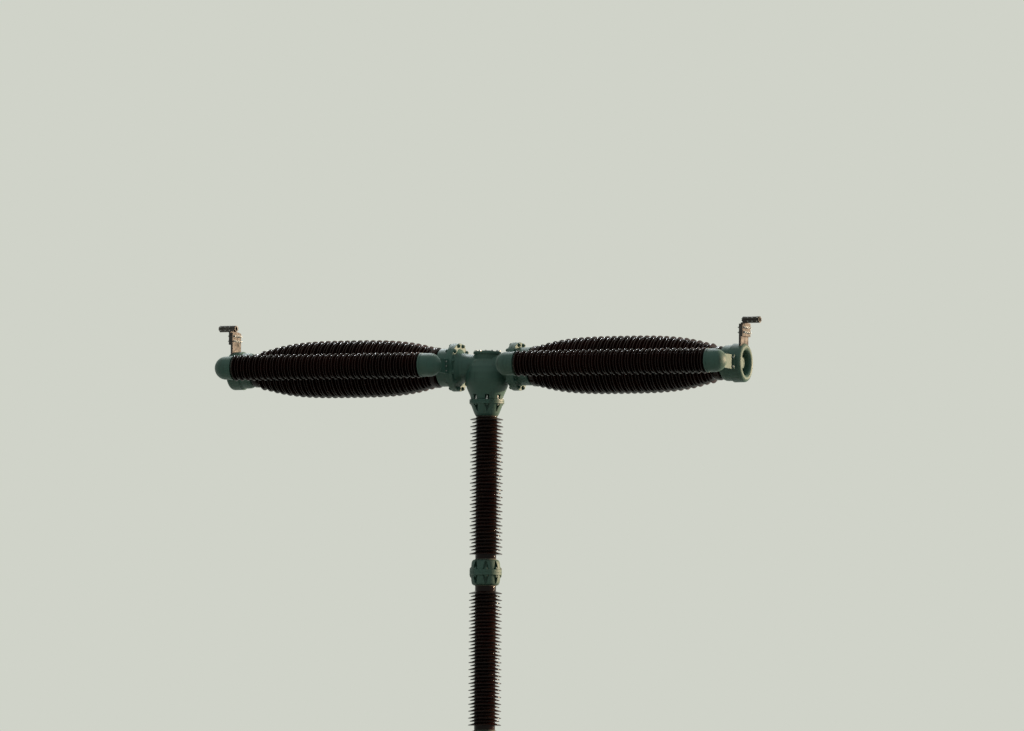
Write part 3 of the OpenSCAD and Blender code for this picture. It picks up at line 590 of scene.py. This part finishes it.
class BREAKER_OT_arm_porcelain(bpy.types.Operator):
    """Makes the two barrel-shaped porcelain bodies of the interrupters"""
    bl_idname = "breaker.arm_porcelain"
    bl_label = "Interrupter porcelain"

    def execute(self, context):
        sizes = context.scene.breaker_porcelain
        start, end = ARM_NECK_X + ARM_NECK, ARM_END_X - ARM_NECK
        values = {"Around": 96, "Neck Steps": 4, "Body": sizes.arm_root, "Belly": sizes.arm_belly,
                  "Belly Power": 3.2, "Belly Shift": 2 * BELLY_SHIFT / (end - start),
                  "Reach": sizes.arm_reach, "Small Shed": 0.75,
                  "First Rise": 0.055, "First Drop": 0.072, "First Neck": ARM_NECK,
                  "Last Rise": 0.023, "Last Drop": 0.040, "Last Neck": ARM_NECK}
        for label, side in SIDES.items():
            grow_porcelain("porcelain_arm_" + label, start, end, sizes.arm_pitch, values, along_arm(side),
                           "interrupter_" + label)
        return {"FINISHED"}


class BREAKER_OT_capacitor_porcelain(bpy.types.Operator):
    """Makes the slim porcelain bodies of the two grading capacitors"""
    bl_idname = "breaker.capacitor_porcelain"
    bl_label = "Capacitor porcelain"

    def execute(self, context):
        sizes = context.scene.breaker_porcelain
        for label, side in SIDES.items():
            node = "capacitor_" + label
            body = ends(node, Z)[1] - ARM_Z - sizes.capacitor_reach
            values = {"Around": 60, "Neck Steps": 1, "Body": body, "Reach": sizes.capacitor_reach,
                      "Small Shed": 0.72, "First Neck": CAPACITOR_MARGIN,
                      "Last Neck": CAPACITOR_MARGIN}
            start, end = CAP_MOUTHS[0] + CAPACITOR_MARGIN, CAP_MOUTHS[1] - CAPACITOR_MARGIN
            grow_porcelain("porcelain_" + node, start, end, sizes.capacitor_pitch, values,
                           along_arm(side, CAPACITOR_Y), node)
        return {"FINISHED"}


# Bolts

# Sizes of a bolt as shares of its diameter
BOLT_SHARES = {"Hexagon Radius": 0.87, "Hexagon Height": 0.64, "Washer Radius": 0.92,
               "Washer Thickness": 0.15, "Thread Radius": 0.5}


def turned_bar(graph, sides, radius, depth, base, chamfer):
    """A closed upright bar in a tree, from base to base plus depth, with its top edge bevelled."""
    bar = graph.out("GeometryNodeMeshCylinder", {
        "Vertices": sides, "Side Segments": 2, "Fill Segments": 1, "Radius": radius, "Depth": depth},
        fill_type="NGON")
    spot = graph.split(graph.out("GeometryNodeInputPosition"))
    share = spot[Z] / depth
    shrink = 1.0 - (share > 0.25) * chamfer
    middle = abs(share) < 0.25
    raised = spot[Z] + middle * depth * 0.32 + depth * 0.5 + base
    place = graph.vector(spot[X] * shrink, spot[Y] * shrink, raised)
    return graph.out("GeometryNodeSetPosition", {0: bar, "Position": place})


def bolt_tree():
    """Tree that stands a washer, a hexagon and a thread end on each point, along its axis."""
    tree, graph, entry = new_tree("Hexagon bolts", ["Seed"], [*BOLT_SHARES, "Thread Length"])
    washer = entry["Washer Thickness"]
    head_top = washer + entry["Hexagon Height"]
    parts = [turned_bar(graph, 20, entry["Washer Radius"], washer, 0.0, 0.03),
             turned_bar(graph, 6, entry["Hexagon Radius"], entry["Hexagon Height"], washer, 0.1),
             turned_bar(graph, 12, entry["Thread Radius"], entry["Thread Length"], head_top, 0.12)]
    join = graph.put("GeometryNodeJoinGeometry")
    for part in parts:
        graph.feed(join.inputs[0], part)
    axis = graph.out("GeometryNodeInputNamedAttribute", {"Name": "axis"}, data_type="FLOAT_VECTOR")
    upright = graph.out("FunctionNodeAlignRotationToVector", {"Vector": axis}, axis="Z")
    turn = graph.out("FunctionNodeRandomValue", {2: 0.0, 3: math.tau, "Seed": entry["Seed"]}, 1,
                     data_type="FLOAT")
    spin = graph.out("FunctionNodeAxisAngleToRotation", {"Axis": (0, 0, 1), "Angle": turn})
    rotation = graph.out("FunctionNodeRotateRotation", {"Rotation": upright, "Rotate By": spin},
                         rotation_space="LOCAL")
    placed = graph.out("GeometryNodeInstanceOnPoints", {
        "Points": entry["Geometry"], "Instance": join.outputs[0], "Rotation": rotation})
    close_tree(graph, placed, entry["Material"])
    return tree


def set_bolts(name, diameter, spots, thread=0.25, slot="galvanised_steel"):
    """Bolts of one size on spots, each a place and the direction that the head points in.

    The thread end sticks out beyond the hexagon by that share of the diameter.
    """
    tree = bpy.data.node_groups.get("Hexagon bolts") or bolt_tree()
    points = bpy.data.meshes.new(name)
    points.from_pydata([tuple(place) for place, _ in spots], [], [])
    axes = points.attributes.new("axis", "FLOAT_VECTOR", "POINT")
    for item, (_, axis) in zip(axes.data, spots):
        item.vector = axis
    values = {size: diameter * share for size, share in BOLT_SHARES.items()}
    values |= {"Thread Length": diameter * thread, "Seed": bpy.context.scene.breaker_bolts.seed,
               "Material": finish(slot)}
    add_piece(name, grow(name, tree, values, points))


def ring_spots(centre, axis, radius, count):
    """Spots on a circle round an axis, each of which points along it."""
    axis = Vector(axis)
    across = Vector((0, 1, 0)) if abs(axis.x) > 0.5 else Vector((1, 0, 0))
    upward = Vector((0, 1, 0)) if abs(axis.z) > 0.5 else Vector((0, 0, 1))
    turns = [(i + 0.5) * math.tau / count for i in range(count)]
    return [(Vector(centre) + radius * (math.cos(t) * across + math.sin(t) * upward), axis) for t in turns]


class BREAKER_OT_column_bolts(bpy.types.Operator):
    """Sets the bolts in the pockets of the column flanges and of the bell"""
    bl_idname = "breaker.column_bolts"
    bl_label = "Column bolts"

    def execute(self, context):
        size = context.scene.breaker_bolts.column
        spots = []
        for z, axis in ((COLUMN_FOOT + COLUMN_FLANGE_T, UP), (JOINT_Z + COLUMN_FLANGE_T, UP),
                        (JOINT_Z - COLUMN_FLANGE_T, DOWN)):
            spots += ring_spots((0, 0, z), axis, FLANGE_R - COLUMN_BOLT_INSET, 8)
        set_bolts("column_bolts", size, spots, 0.4, "casting_paint")
        circle = HEAD_FLANGE_R - HEAD_BOLT_INSET
        studs = ring_spots((0, 0, COLUMN_TOP + HEAD_FLANGE_T - HEAD_SPOT_FACE), UP, circle, 8)
        set_bolts("bell_studs", size * 0.9, studs, 1.3)
        heads = ring_spots((0, 0, COLUMN_TOP - HEAD_FLANGE_T), DOWN, circle, 8)
        set_bolts("crown_bolts", size * 0.9, heads, 0.2, "casting_paint")
        return {"FINISHED"}


class BREAKER_OT_arm_bolts(bpy.types.Operator):
    """Sets the bolts of the arm flanges and of the covers on the arm ends"""
    bl_idname = "breaker.arm_bolts"
    bl_label = "Arm bolts"

    def execute(self, context):
        bolts = context.scene.breaker_bolts
        flange_spots, cover_spots = [], []
        for side in SIDES.values():
            out = (side, 0, 0)
            for x, axis in ((ARM_JOINT_X + ARM_FLANGE_T, out), (ARM_JOINT_X - ARM_FLANGE_T, (-side, 0, 0))):
                flange_spots += ring_spots((side * x, 0, ARM_Z), axis, ARM_FLANGE_R - ARM_BOLT_INSET, 12)
            cover_spots += ring_spots((side * ARM_TIP_X, 0, ARM_Z), out, END_COVER_BOLT_R, 8)
        set_bolts("arm_flange_bolts", bolts.arm, flange_spots, 0.35, "casting_paint")
        set_bolts("end_cover_bolts", bolts.cover, cover_spots)
        return {"FINISHED"}


class BREAKER_OT_cover_bolts(bpy.types.Operator):
    """Sets the bolts of the top cover and of the drive's inspection covers"""
    bl_idname = "breaker.cover_bolts"
    bl_label = "Cover bolts"

    def execute(self, context):
        spots = ring_spots((0, 0, COVER_TOP_Z - COVER_PLATEAU_T), UP, COVER_R - COVER_BOLT_INSET, 12)
        low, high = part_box("housing_covers")
        middle = (low + high) / 2
        rim = (high.z - low.z) / 2 - SIDE_COVER_BOLT_INSET
        for side in SIDES.values():
            spots += ring_spots((side * (high.x - COVER_PLATEAU_T), 0, middle.z), (side, 0, 0), rim, 10)
        set_bolts("cover_bolts", context.scene.breaker_bolts.cover, spots)
        return {"FINISHED"}


class BREAKER_OT_terminal_bolts(bpy.types.Operator):
    """Sets the bolts through the terminal pads and palms and the screws of the conductor clamps"""
    bl_idname = "breaker.terminal_bolts"
    bl_label = "Terminal bolts"

    def execute(self, context):
        bolts = context.scene.breaker_bolts
        clamp_low, clamp_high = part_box("terminal_clamp_right")
        palm_face = PAD_X[1] + PALM_T
        palm_mid = clamp_high.z - 2 * CLAMP_R - PALM_H / 2 - PALM_GAP
        clamp_mid = clamp_high.z - CLAMP_R
        through, clamped = [], []
        for side in SIDES.values():
            for row in (-0.5, 0.5):
                for column in (-1.5, -0.5, 0.5, 1.5):
                    y, z = column * PAD_BOLT_PITCH, palm_mid + row * PAD_BOLT_PITCH
                    through.append(((side * palm_face, y, z), (side, 0, 0)))
                    through.append(((side * PAD_X[0], y, z), (-side, 0, 0)))
            clamped += [((side * (clamp_low.x + row), s * CLAMP_SCREW_Y, clamp_mid + t * CLAMP_LUG_T),
                         (0, 0, t)) for row in CLAMP_ROWS for s, t in CORNERS]
        set_bolts("terminal_bolts", bolts.terminal, through, 0.7)
        set_bolts("clamp_screws", bolts.terminal * 0.55, clamped, 0.3)
        return {"FINISHED"}


class BREAKER_OT_bracket_bolts(bpy.types.Operator):
    """Sets the bolts that hold the capacitor brackets on their bosses"""
    bl_idname = "breaker.bracket_bolts"
    bl_label = "Bracket bolts"

    def execute(self, context):
        inner_face = -ARM_FLANGE_R - BRACKET_BOSS_T - BRACKET_FOOT_T
        outer_face = ARM_Z - ends("shield_ring_right", Z)[1] - BRACKET_BOSS_T - BRACKET_FOOT_T
        inner_x = ARM_JOINT_X + INNER_BRACKET_X
        outer_x = ends("outer_brackets", X)[1] - OUTER_BRACKET_INSET
        spots, narrow = [], []
        for side in SIDES.values():
            narrow += [((side * inner_x, inner_face, ARM_Z + t * BRACKET_BOLT_Z), (0, -1, 0))
                       for t in (-1, 0, 1)]
            spots += [((side * (outer_x + s * OUTER_BOLT_X), outer_face, ARM_Z + t * BRACKET_BOLT_Z),
                       (0, -1, 0)) for s, t in CORNERS]
        size = context.scene.breaker_bolts.bracket
        set_bolts("bracket_bolts", size * 0.75, spots)
        set_bolts("inner_bracket_bolts", size * 0.5, narrow)
        return {"FINISHED"}


class BREAKER_OT_pedestal_bolts(bpy.types.Operator):
    """Sets the bolts of the drive, the head frame, the lattice, the rails and the anchors"""
    bl_idname = "breaker.pedestal_bolts"
    bl_label = "Pedestal bolts"

    def execute(self, context):
        bolts = context.scene.breaker_bolts
        base_top = PEDESTAL_TOP + DRIVE_BASE_T
        drive = [((x * s, DRIVE_BOLT_Y * t, base_top), UP) for x in DRIVE_BOLTS_X for s, t in CORNERS]
        near, far = (HALF_PEDESTAL - inset for inset in FRAME_BOLT_INSETS)
        frame_bolts = [((a * s, b * t, z), axis) for a, b in ((near, far), (far, near)) for s, t in CORNERS
                       for z, axis in ((FRAME_FOOT + BEAM_T, UP), (FRAME_FOOT - CAP_PLATE_T, DOWN))]
        set_bolts("drive_bolts", bolts.column, drive, 0.6)
        set_bolts("frame_bolts", bolts.bracket, frame_bolts)
        set_bolts("lattice_bolts", bolts.bracket, lattice_spots(), 0.3)
        rail_low, rail_high = ends("cabinet_rails", Z)
        rails = [((s * x, ends("cabinet_rails", Y)[1], z), (0, 1, 0))
                 for z in (rail_low + HALF_RAIL, rail_high - HALF_RAIL)
                 for x in (LEG_MID - RAIL_BOLT_X, LEG_MID + RAIL_BOLT_X) for s in (-1, 1)]
        set_bolts("rail_bolts", bolts.bracket, rails, 0.5)
        anchors = [((s * (LEG_MID + d), t * (LEG_MID + d), FOOT_PLATE_T), UP)
                   for d in (-ANCHOR_OFFSET, ANCHOR_OFFSET) for s, t in CORNERS]
        set_bolts("anchor_nuts", bolts.anchor, anchors, 1.2)
        return {"FINISHED"}


def lattice_spots():
    """Bolts where the bracing meets the legs: heads outside, nuts inside, on all four sides."""
    spots = []
    for quarter in range(4):
        turn = Matrix.Rotation(quarter * math.pi / 2, 3, "Z")
        out = turn @ Vector((0, -1, 0))
        for i, level in enumerate(BRACE_LEVELS):
            places = [(s * (LEG_MID + LEVEL_BOLT_X), level) for s in (-1, 1)]
            for way, diagonal in ((-1, i - 1), (1, i)):
                if 0 <= diagonal < len(BRACE_LEVELS) - 1:
                    side = way if diagonal % 2 else -way
                    places.append((side * (LEG_MID - DIAGONAL_BOLT_X), level + way * DIAGONAL_BOLT_Z))
            for x, z in places:
                spots.append((turn @ Vector((x, -HALF_PEDESTAL, z)), out))
                spots.append((turn @ Vector((x, -BRACE_FACE + BRACE_T, z)), -out))
    return spots


# Small parts that are shaped from listed outlines and boxes

def lathe(bm, outline, sides, place):
    """Adds a closed outline of radius and height points, turned round Z and put in its place."""
    rings = []
    for i in range(sides):
        turn = Matrix.Rotation(i * math.tau / sides, 4, "Z")
        rings.append([bm.verts.new(place @ turn @ Vector((r, 0, h))) for r, h in outline])
    for i in range(sides):
        here, there = rings[i], rings[(i + 1) % sides]
        for j in range(len(outline)):
            k = (j + 1) % len(outline)
            bm.faces.new((here[j], there[j], there[k], here[k]))


def add_beads(bm, outline, sides, place, pair):
    """Adds a ring of that outline at each of two mouths on an axis, the second upside down."""
    for mouth, turn in zip(pair, (0, math.pi)):
        lathe(bm, outline, sides, place @ shift(0, 0, mouth) @ Matrix.Rotation(turn, 4, "X"))


def block(bm, low, high, bevel):
    """Adds a box between two corners with its edges rounded."""
    size = Vector(high) - Vector(low)
    made = bmesh.ops.create_cube(bm, size=1.0)["verts"]
    bmesh.ops.scale(bm, vec=size, verts=made)
    bmesh.ops.translate(bm, vec=(Vector(low) + Vector(high)) / 2, verts=made)
    edges = list(dict.fromkeys(edge for vert in made for edge in vert.link_edges))
    bmesh.ops.bevel(bm, geom=edges, offset=bevel, segments=3, affect="EDGES", profile=0.5)


def add_shaped(name, bm, material):
    """Ends a mesh shaped from listed points and adds it as a piece: doubles merged, faces out, one material.
    """
    bmesh.ops.remove_doubles(bm, verts=bm.verts, dist=0.00001)
    bmesh.ops.recalc_face_normals(bm, faces=bm.faces)
    mesh = bpy.data.meshes.new(name)
    bm.to_mesh(mesh)
    bm.free()
    mesh.materials.append(finish(material))
    mesh.shade_smooth()
    mesh.set_sharp_from_angle(angle=math.radians(40))
    add_piece(name, mesh)


class BREAKER_OT_cement_joints(bpy.types.Operator):
    """Makes the sealing fillets where the porcelain enters its castings"""
    bl_idname = "breaker.cement_joints"
    bl_label = "Cement joints"

    def execute(self, context):
        sizes = context.scene.breaker_porcelain
        bm = bmesh.new()
        spigot = ends("lower_column_insulator", X)[1] - sizes.column_reach - 0.006
        bead = [(spigot - 0.001, -0.006), (spigot + 0.010, 0.0003), (spigot + 0.008, 0.004),
                (spigot + 0.005, 0.009), (spigot + 0.002, 0.014), (spigot - 0.001, 0.014)]
        for section in SECTIONS:
            add_beads(bm, bead, 64, Matrix(), mouths(section))
        body = ends("capacitor_right", Z)[1] - ARM_Z - sizes.capacitor_reach
        small_bead = [(body - 0.002, -0.006), (body + 0.013, 0.0003), (body + 0.009, 0.004),
                      (body + 0.003, 0.009), (body - 0.002, 0.009)]
        for side in SIDES.values():
            add_beads(bm, small_bead, 48, along_arm(side, CAPACITOR_Y), CAP_MOUTHS)
        add_shaped("cement_joints", bm, "joint_cement")
        return {"FINISHED"}


class BREAKER_OT_cabinet_fittings(bpy.types.Operator):
    """Makes the door's hinges and its swing handle"""
    bl_idname = "breaker.cabinet_fittings"
    bl_label = "Cabinet fittings"

    def execute(self, context):
        face = DOOR_HIGH.y
        bm = bmesh.new()
        for share in (0.14, 0.5, 0.86):
            z = DOOR_LOW.z + share * (DOOR_HIGH.z - DOOR_LOW.z)
            barrel = [(0.0, -0.045), (0.010, -0.045), (0.011, -0.043),
                      (0.011, 0.043), (0.010, 0.045), (0.0, 0.045)]
            lathe(bm, barrel, 20, shift(DOOR_LOW.x - 0.008, face - 0.006, z))
            x = DOOR_LOW.x
            block(bm, (x - 0.006, face - 0.002, z - 0.036), (x + 0.044, face + 0.004, z + 0.036), 0.0015)
        add_shaped("door_hinges", bm, "galvanised_steel")
        bm = bmesh.new()
        x, z = DOOR_HIGH.x - 0.026, (DOOR_LOW.z + DOOR_HIGH.z) / 2
        block(bm, (x - 0.019, face - 0.001, z - 0.085), (x + 0.019, face + 0.006, z + 0.085), 0.003)
        block(bm, (x - 0.011, face + 0.004, z - 0.074), (x + 0.011, face + 0.024, z + 0.060), 0.005)
        rose = [(0.0, 0.0), (0.017, 0.0), (0.017, 0.006), (0.014, 0.010), (0.0, 0.010)]
        outwards = Matrix.Rotation(-math.pi / 2, 4, "X")
        lathe(bm, rose, 32, shift(x, face + 0.005, z + 0.069) @ outwards)
        add_shaped("door_handle", bm, "galvanised_steel")
        return {"FINISHED"}


class BREAKER_OT_end_housings(bpy.types.Operator):
    """Makes the round housings that stand on the arms' end covers, inside the shield rings"""
    bl_idname = "breaker.end_housings"
    bl_label = "End housings"

    def execute(self, context):
        outline = [(0.0, -0.001), (0.067, -0.001), (0.067, 0.009), (0.060, 0.015), (0.060, 0.070),
                   (0.056, 0.077), (0.048, 0.080), (0.030, 0.080), (0.028, 0.078), (0.0, 0.078)]
        bm = bmesh.new()
        for side in SIDES.values():
            place = shift(side * ARM_TIP_X, 0, ARM_Z)
            lathe(bm, outline, 40, place @ Matrix.Rotation(side * math.pi / 2, 4, "Y"))
        add_shaped("end_housings", bm, "casting_paint")
        return {"FINISHED"}


class BREAKER_OT_earth_lugs(bpy.types.Operator):
    """Makes the earthing lugs on two legs, with their bolts"""
    bl_idname = "breaker.earth_lugs"
    bl_label = "Earth lugs"

    def execute(self, context):
        bm = bmesh.new()
        spots = []
        for side in SIDES.values():
            x, y, z = side * LEG_MID, side * HALF_PEDESTAL, 0.18
            out = Vector((0, side, 0))
            low, high = sorted((y, y + side * 0.010))
            block(bm, (x - 0.025, low, z - 0.03), (x + 0.025, high, z + 0.05), 0.002)
            spots.append((Vector((x, y, z + 0.012)) + out * 0.010, out))
        add_shaped("earth_lugs", bm, "galvanised_steel")
        set_bolts("earth_bolts", context.scene.breaker_bolts.cover, spots)
        return {"FINISHED"}


class BREAKER_OT_finish_frame(bpy.types.Operator):
    """Gives every carried-over CAD node the finish of its slot"""
    bl_idname = "breaker.finish_frame"
    bl_label = "Finish the frame"

    def execute(self, context):
        for node, part in frame["nodes"].items():
            part.data.materials.clear()
            part.data.materials.append(finish(SLOTS[node]))
        return {"FINISHED"}


# Stage

def direction(bearing, lift):
    """Unit vector at a bearing from +X and a lift above the level."""
    return Vector((math.cos(bearing) * math.cos(lift), math.sin(bearing) * math.cos(lift), math.sin(lift)))


def aim_camera(stage):
    """Puts the camera at the photograph's place: a long lens, low down and far away."""
    yaw, pitch, roll = (math.radians(v) for v in (-0.134, 3.353, 0.412))
    place = Vector((math.sin(stage.azimuth), -math.cos(stage.azimuth), 0)) * stage.distance
    place.z = stage.height
    ahead = direction(math.atan2(-place.y, -place.x) + yaw, pitch)
    level = ahead.cross(Vector((0, 0, 1))).normalized()
    upright = level.cross(ahead)
    right = math.cos(roll) * level + math.sin(roll) * upright
    up = math.cos(roll) * upright - math.sin(roll) * level
    camera = new_object("camera", bpy.data.cameras.new("camera"))
    camera.data.lens = stage.lens
    camera.data.sensor_width = 36.0
    camera.data.clip_start, camera.data.clip_end = 1.0, 1000.0
    camera.matrix_world = Matrix.Translation(place) @ Matrix((right, up, -ahead)).transposed().to_4x4()
    bpy.context.scene.camera = camera


def seen_directly(graph):
    """1 for rays of the camera, of reflections and through glass, else 0."""
    path = graph.put("ShaderNodeLightPath").outputs
    mirrored = graph.math("MAXIMUM", path["Is Glossy Ray"], path["Is Transmission Ray"])
    return graph.math("MAXIMUM", path["Is Camera Ray"], mirrored)


def build_world(stage):
    """Pale background for the camera and reflections, cool light from above for everything else."""
    world = bpy.data.worlds.new("studio")
    world.use_nodes = True
    bpy.context.scene.world = world
    graph = Graph(world.node_tree)
    world.node_tree.nodes.clear()
    height = graph.split(graph.out("ShaderNodeTexCoord", output="Generated"))[Z]
    overhead = (graph.math("MAXIMUM", height, 0.0) * 1.6 + 0.4) * stage.fill
    tint = graph.blend(graph.ease(height, -0.3, 0.6), stage.ground_light, stage.sky_light)
    light = graph.out("ShaderNodeBackground", {"Color": tint, "Strength": overhead})
    backdrop = graph.out("ShaderNodeBackground", {"Color": stage.sky, "Strength": 1.0})
    both = graph.out("ShaderNodeMixShader", {0: seen_directly(graph), 1: light, 2: backdrop})
    graph.put("ShaderNodeOutputWorld", {"Surface": both})


def build_floor(stage):
    """A wide pale floor that takes the shadow and melts into the background further out."""
    radius, near, far = 320.0, 9.0, 45.0
    bm = bmesh.new()
    bmesh.ops.create_circle(bm, cap_ends=True, radius=radius, segments=64)
    mesh = bpy.data.meshes.new("floor")
    bm.to_mesh(mesh)
    bm.free()
    floor = new_object("floor", mesh)
    floor.location.z = -0.001
    graph = Finish("floor")
    graph.shader.inputs["Roughness"].default_value = 0.9
    graph.shader.inputs["Specular IOR Level"].default_value = 0.1
    out = graph.out("ShaderNodeVectorMath", {0: graph.place}, "Value", operation="LENGTH")
    seen = seen_directly(graph)
    melt = graph.ease(out, near, far) * seen
    glow = graph.out("ShaderNodeEmission", {"Color": stage.sky, "Strength": 1.0})
    graph.feed(graph.shader.inputs["Base Color"], graph.blend(seen, stage.bounce, stage.floor))
    surface = graph.out("ShaderNodeMixShader", {0: melt, 1: graph.shader.outputs[0], 2: glow})
    graph.feed(graph.nodes["Material Output"].inputs["Surface"], surface)
    mesh.materials.append(graph.material)


def add_sun(name, strength, colour, azimuth, elevation, softness):
    """A soft distant lamp that stands at that bearing from +X and that height, in degrees."""
    lamp = new_object(name, bpy.data.lights.new(name, "SUN"))
    lamp.data.energy = strength
    lamp.data.color = colour
    lamp.data.angle = math.radians(softness)
    towards = direction(math.radians(azimuth), math.radians(elevation))
    lamp.rotation_euler = towards.to_track_quat("Z", "Y").to_euler()


class BREAKER_OT_stage(bpy.types.Operator):
    """Builds the camera, the pale floor and background, and the soft lights"""
    bl_idname = "breaker.stage"
    bl_label = "Stage"

    def execute(self, context):
        stage = context.scene.breaker_stage
        context.scene.view_settings.view_transform = "Standard"
        aim_camera(stage)
        build_world(stage)
        build_floor(stage)
        add_sun("low_key", stage.sun, (1.0, 0.75, 0.50), azimuth=43.0, elevation=7.0, softness=7.0)
        add_sun("high_rim", stage.sun * 0.26, (0.92, 0.97, 1.0), azimuth=112.0, elevation=45.0,
                softness=11.0)
        return {"FINISHED"}


STEPS = (BREAKER_OT_stage, BREAKER_OT_finish_frame, BREAKER_OT_column_porcelain, BREAKER_OT_arm_porcelain,
         BREAKER_OT_capacitor_porcelain, BREAKER_OT_cement_joints, BREAKER_OT_end_housings,
         BREAKER_OT_column_bolts, BREAKER_OT_arm_bolts, BREAKER_OT_cover_bolts, BREAKER_OT_terminal_bolts,
         BREAKER_OT_bracket_bolts, BREAKER_OT_pedestal_bolts, BREAKER_OT_cabinet_fittings,
         BREAKER_OT_earth_lugs)
SETTINGS = {"breaker_porcelain": BreakerPorcelain, "breaker_paint": BreakerPaint,
            "breaker_metal": BreakerMetal, "breaker_bolts": BreakerBolts, "breaker_stage": BreakerStage}


class BREAKER_PT_sidebar(bpy.types.Panel):
    """Sidebar panel with the sizes, the colours and the steps"""
    bl_idname = "BREAKER_PT_sidebar"
    bl_label = "Circuit breaker pole"
    bl_space_type = "VIEW_3D"
    bl_region_type = "UI"
    bl_category = "Breaker"

    def draw(self, context):
        for name, group in SETTINGS.items():
            box = self.layout.box()
            box.label(text=group.__name__)
            for field in group.__annotations__:
                box.prop(getattr(context.scene, name), field)
        for step in STEPS:
            self.layout.operator(step.bl_idname)


def register():
    for cls in (*SETTINGS.values(), *STEPS, BREAKER_PT_sidebar):
        bpy.utils.register_class(cls)
    for name, group in SETTINGS.items():
        setattr(bpy.types.Scene, name, PointerProperty(type=group))


def unregister():
    for name in SETTINGS:
        delattr(bpy.types.Scene, name)
    for cls in reversed((*SETTINGS.values(), *STEPS, BREAKER_PT_sidebar)):
        bpy.utils.unregister_class(cls)


def main():
    register()
    for step in STEPS:
        family, name = step.bl_idname.split(".")
        getattr(getattr(bpy.ops, family), name)()


if __name__ == "__main__":
    main()
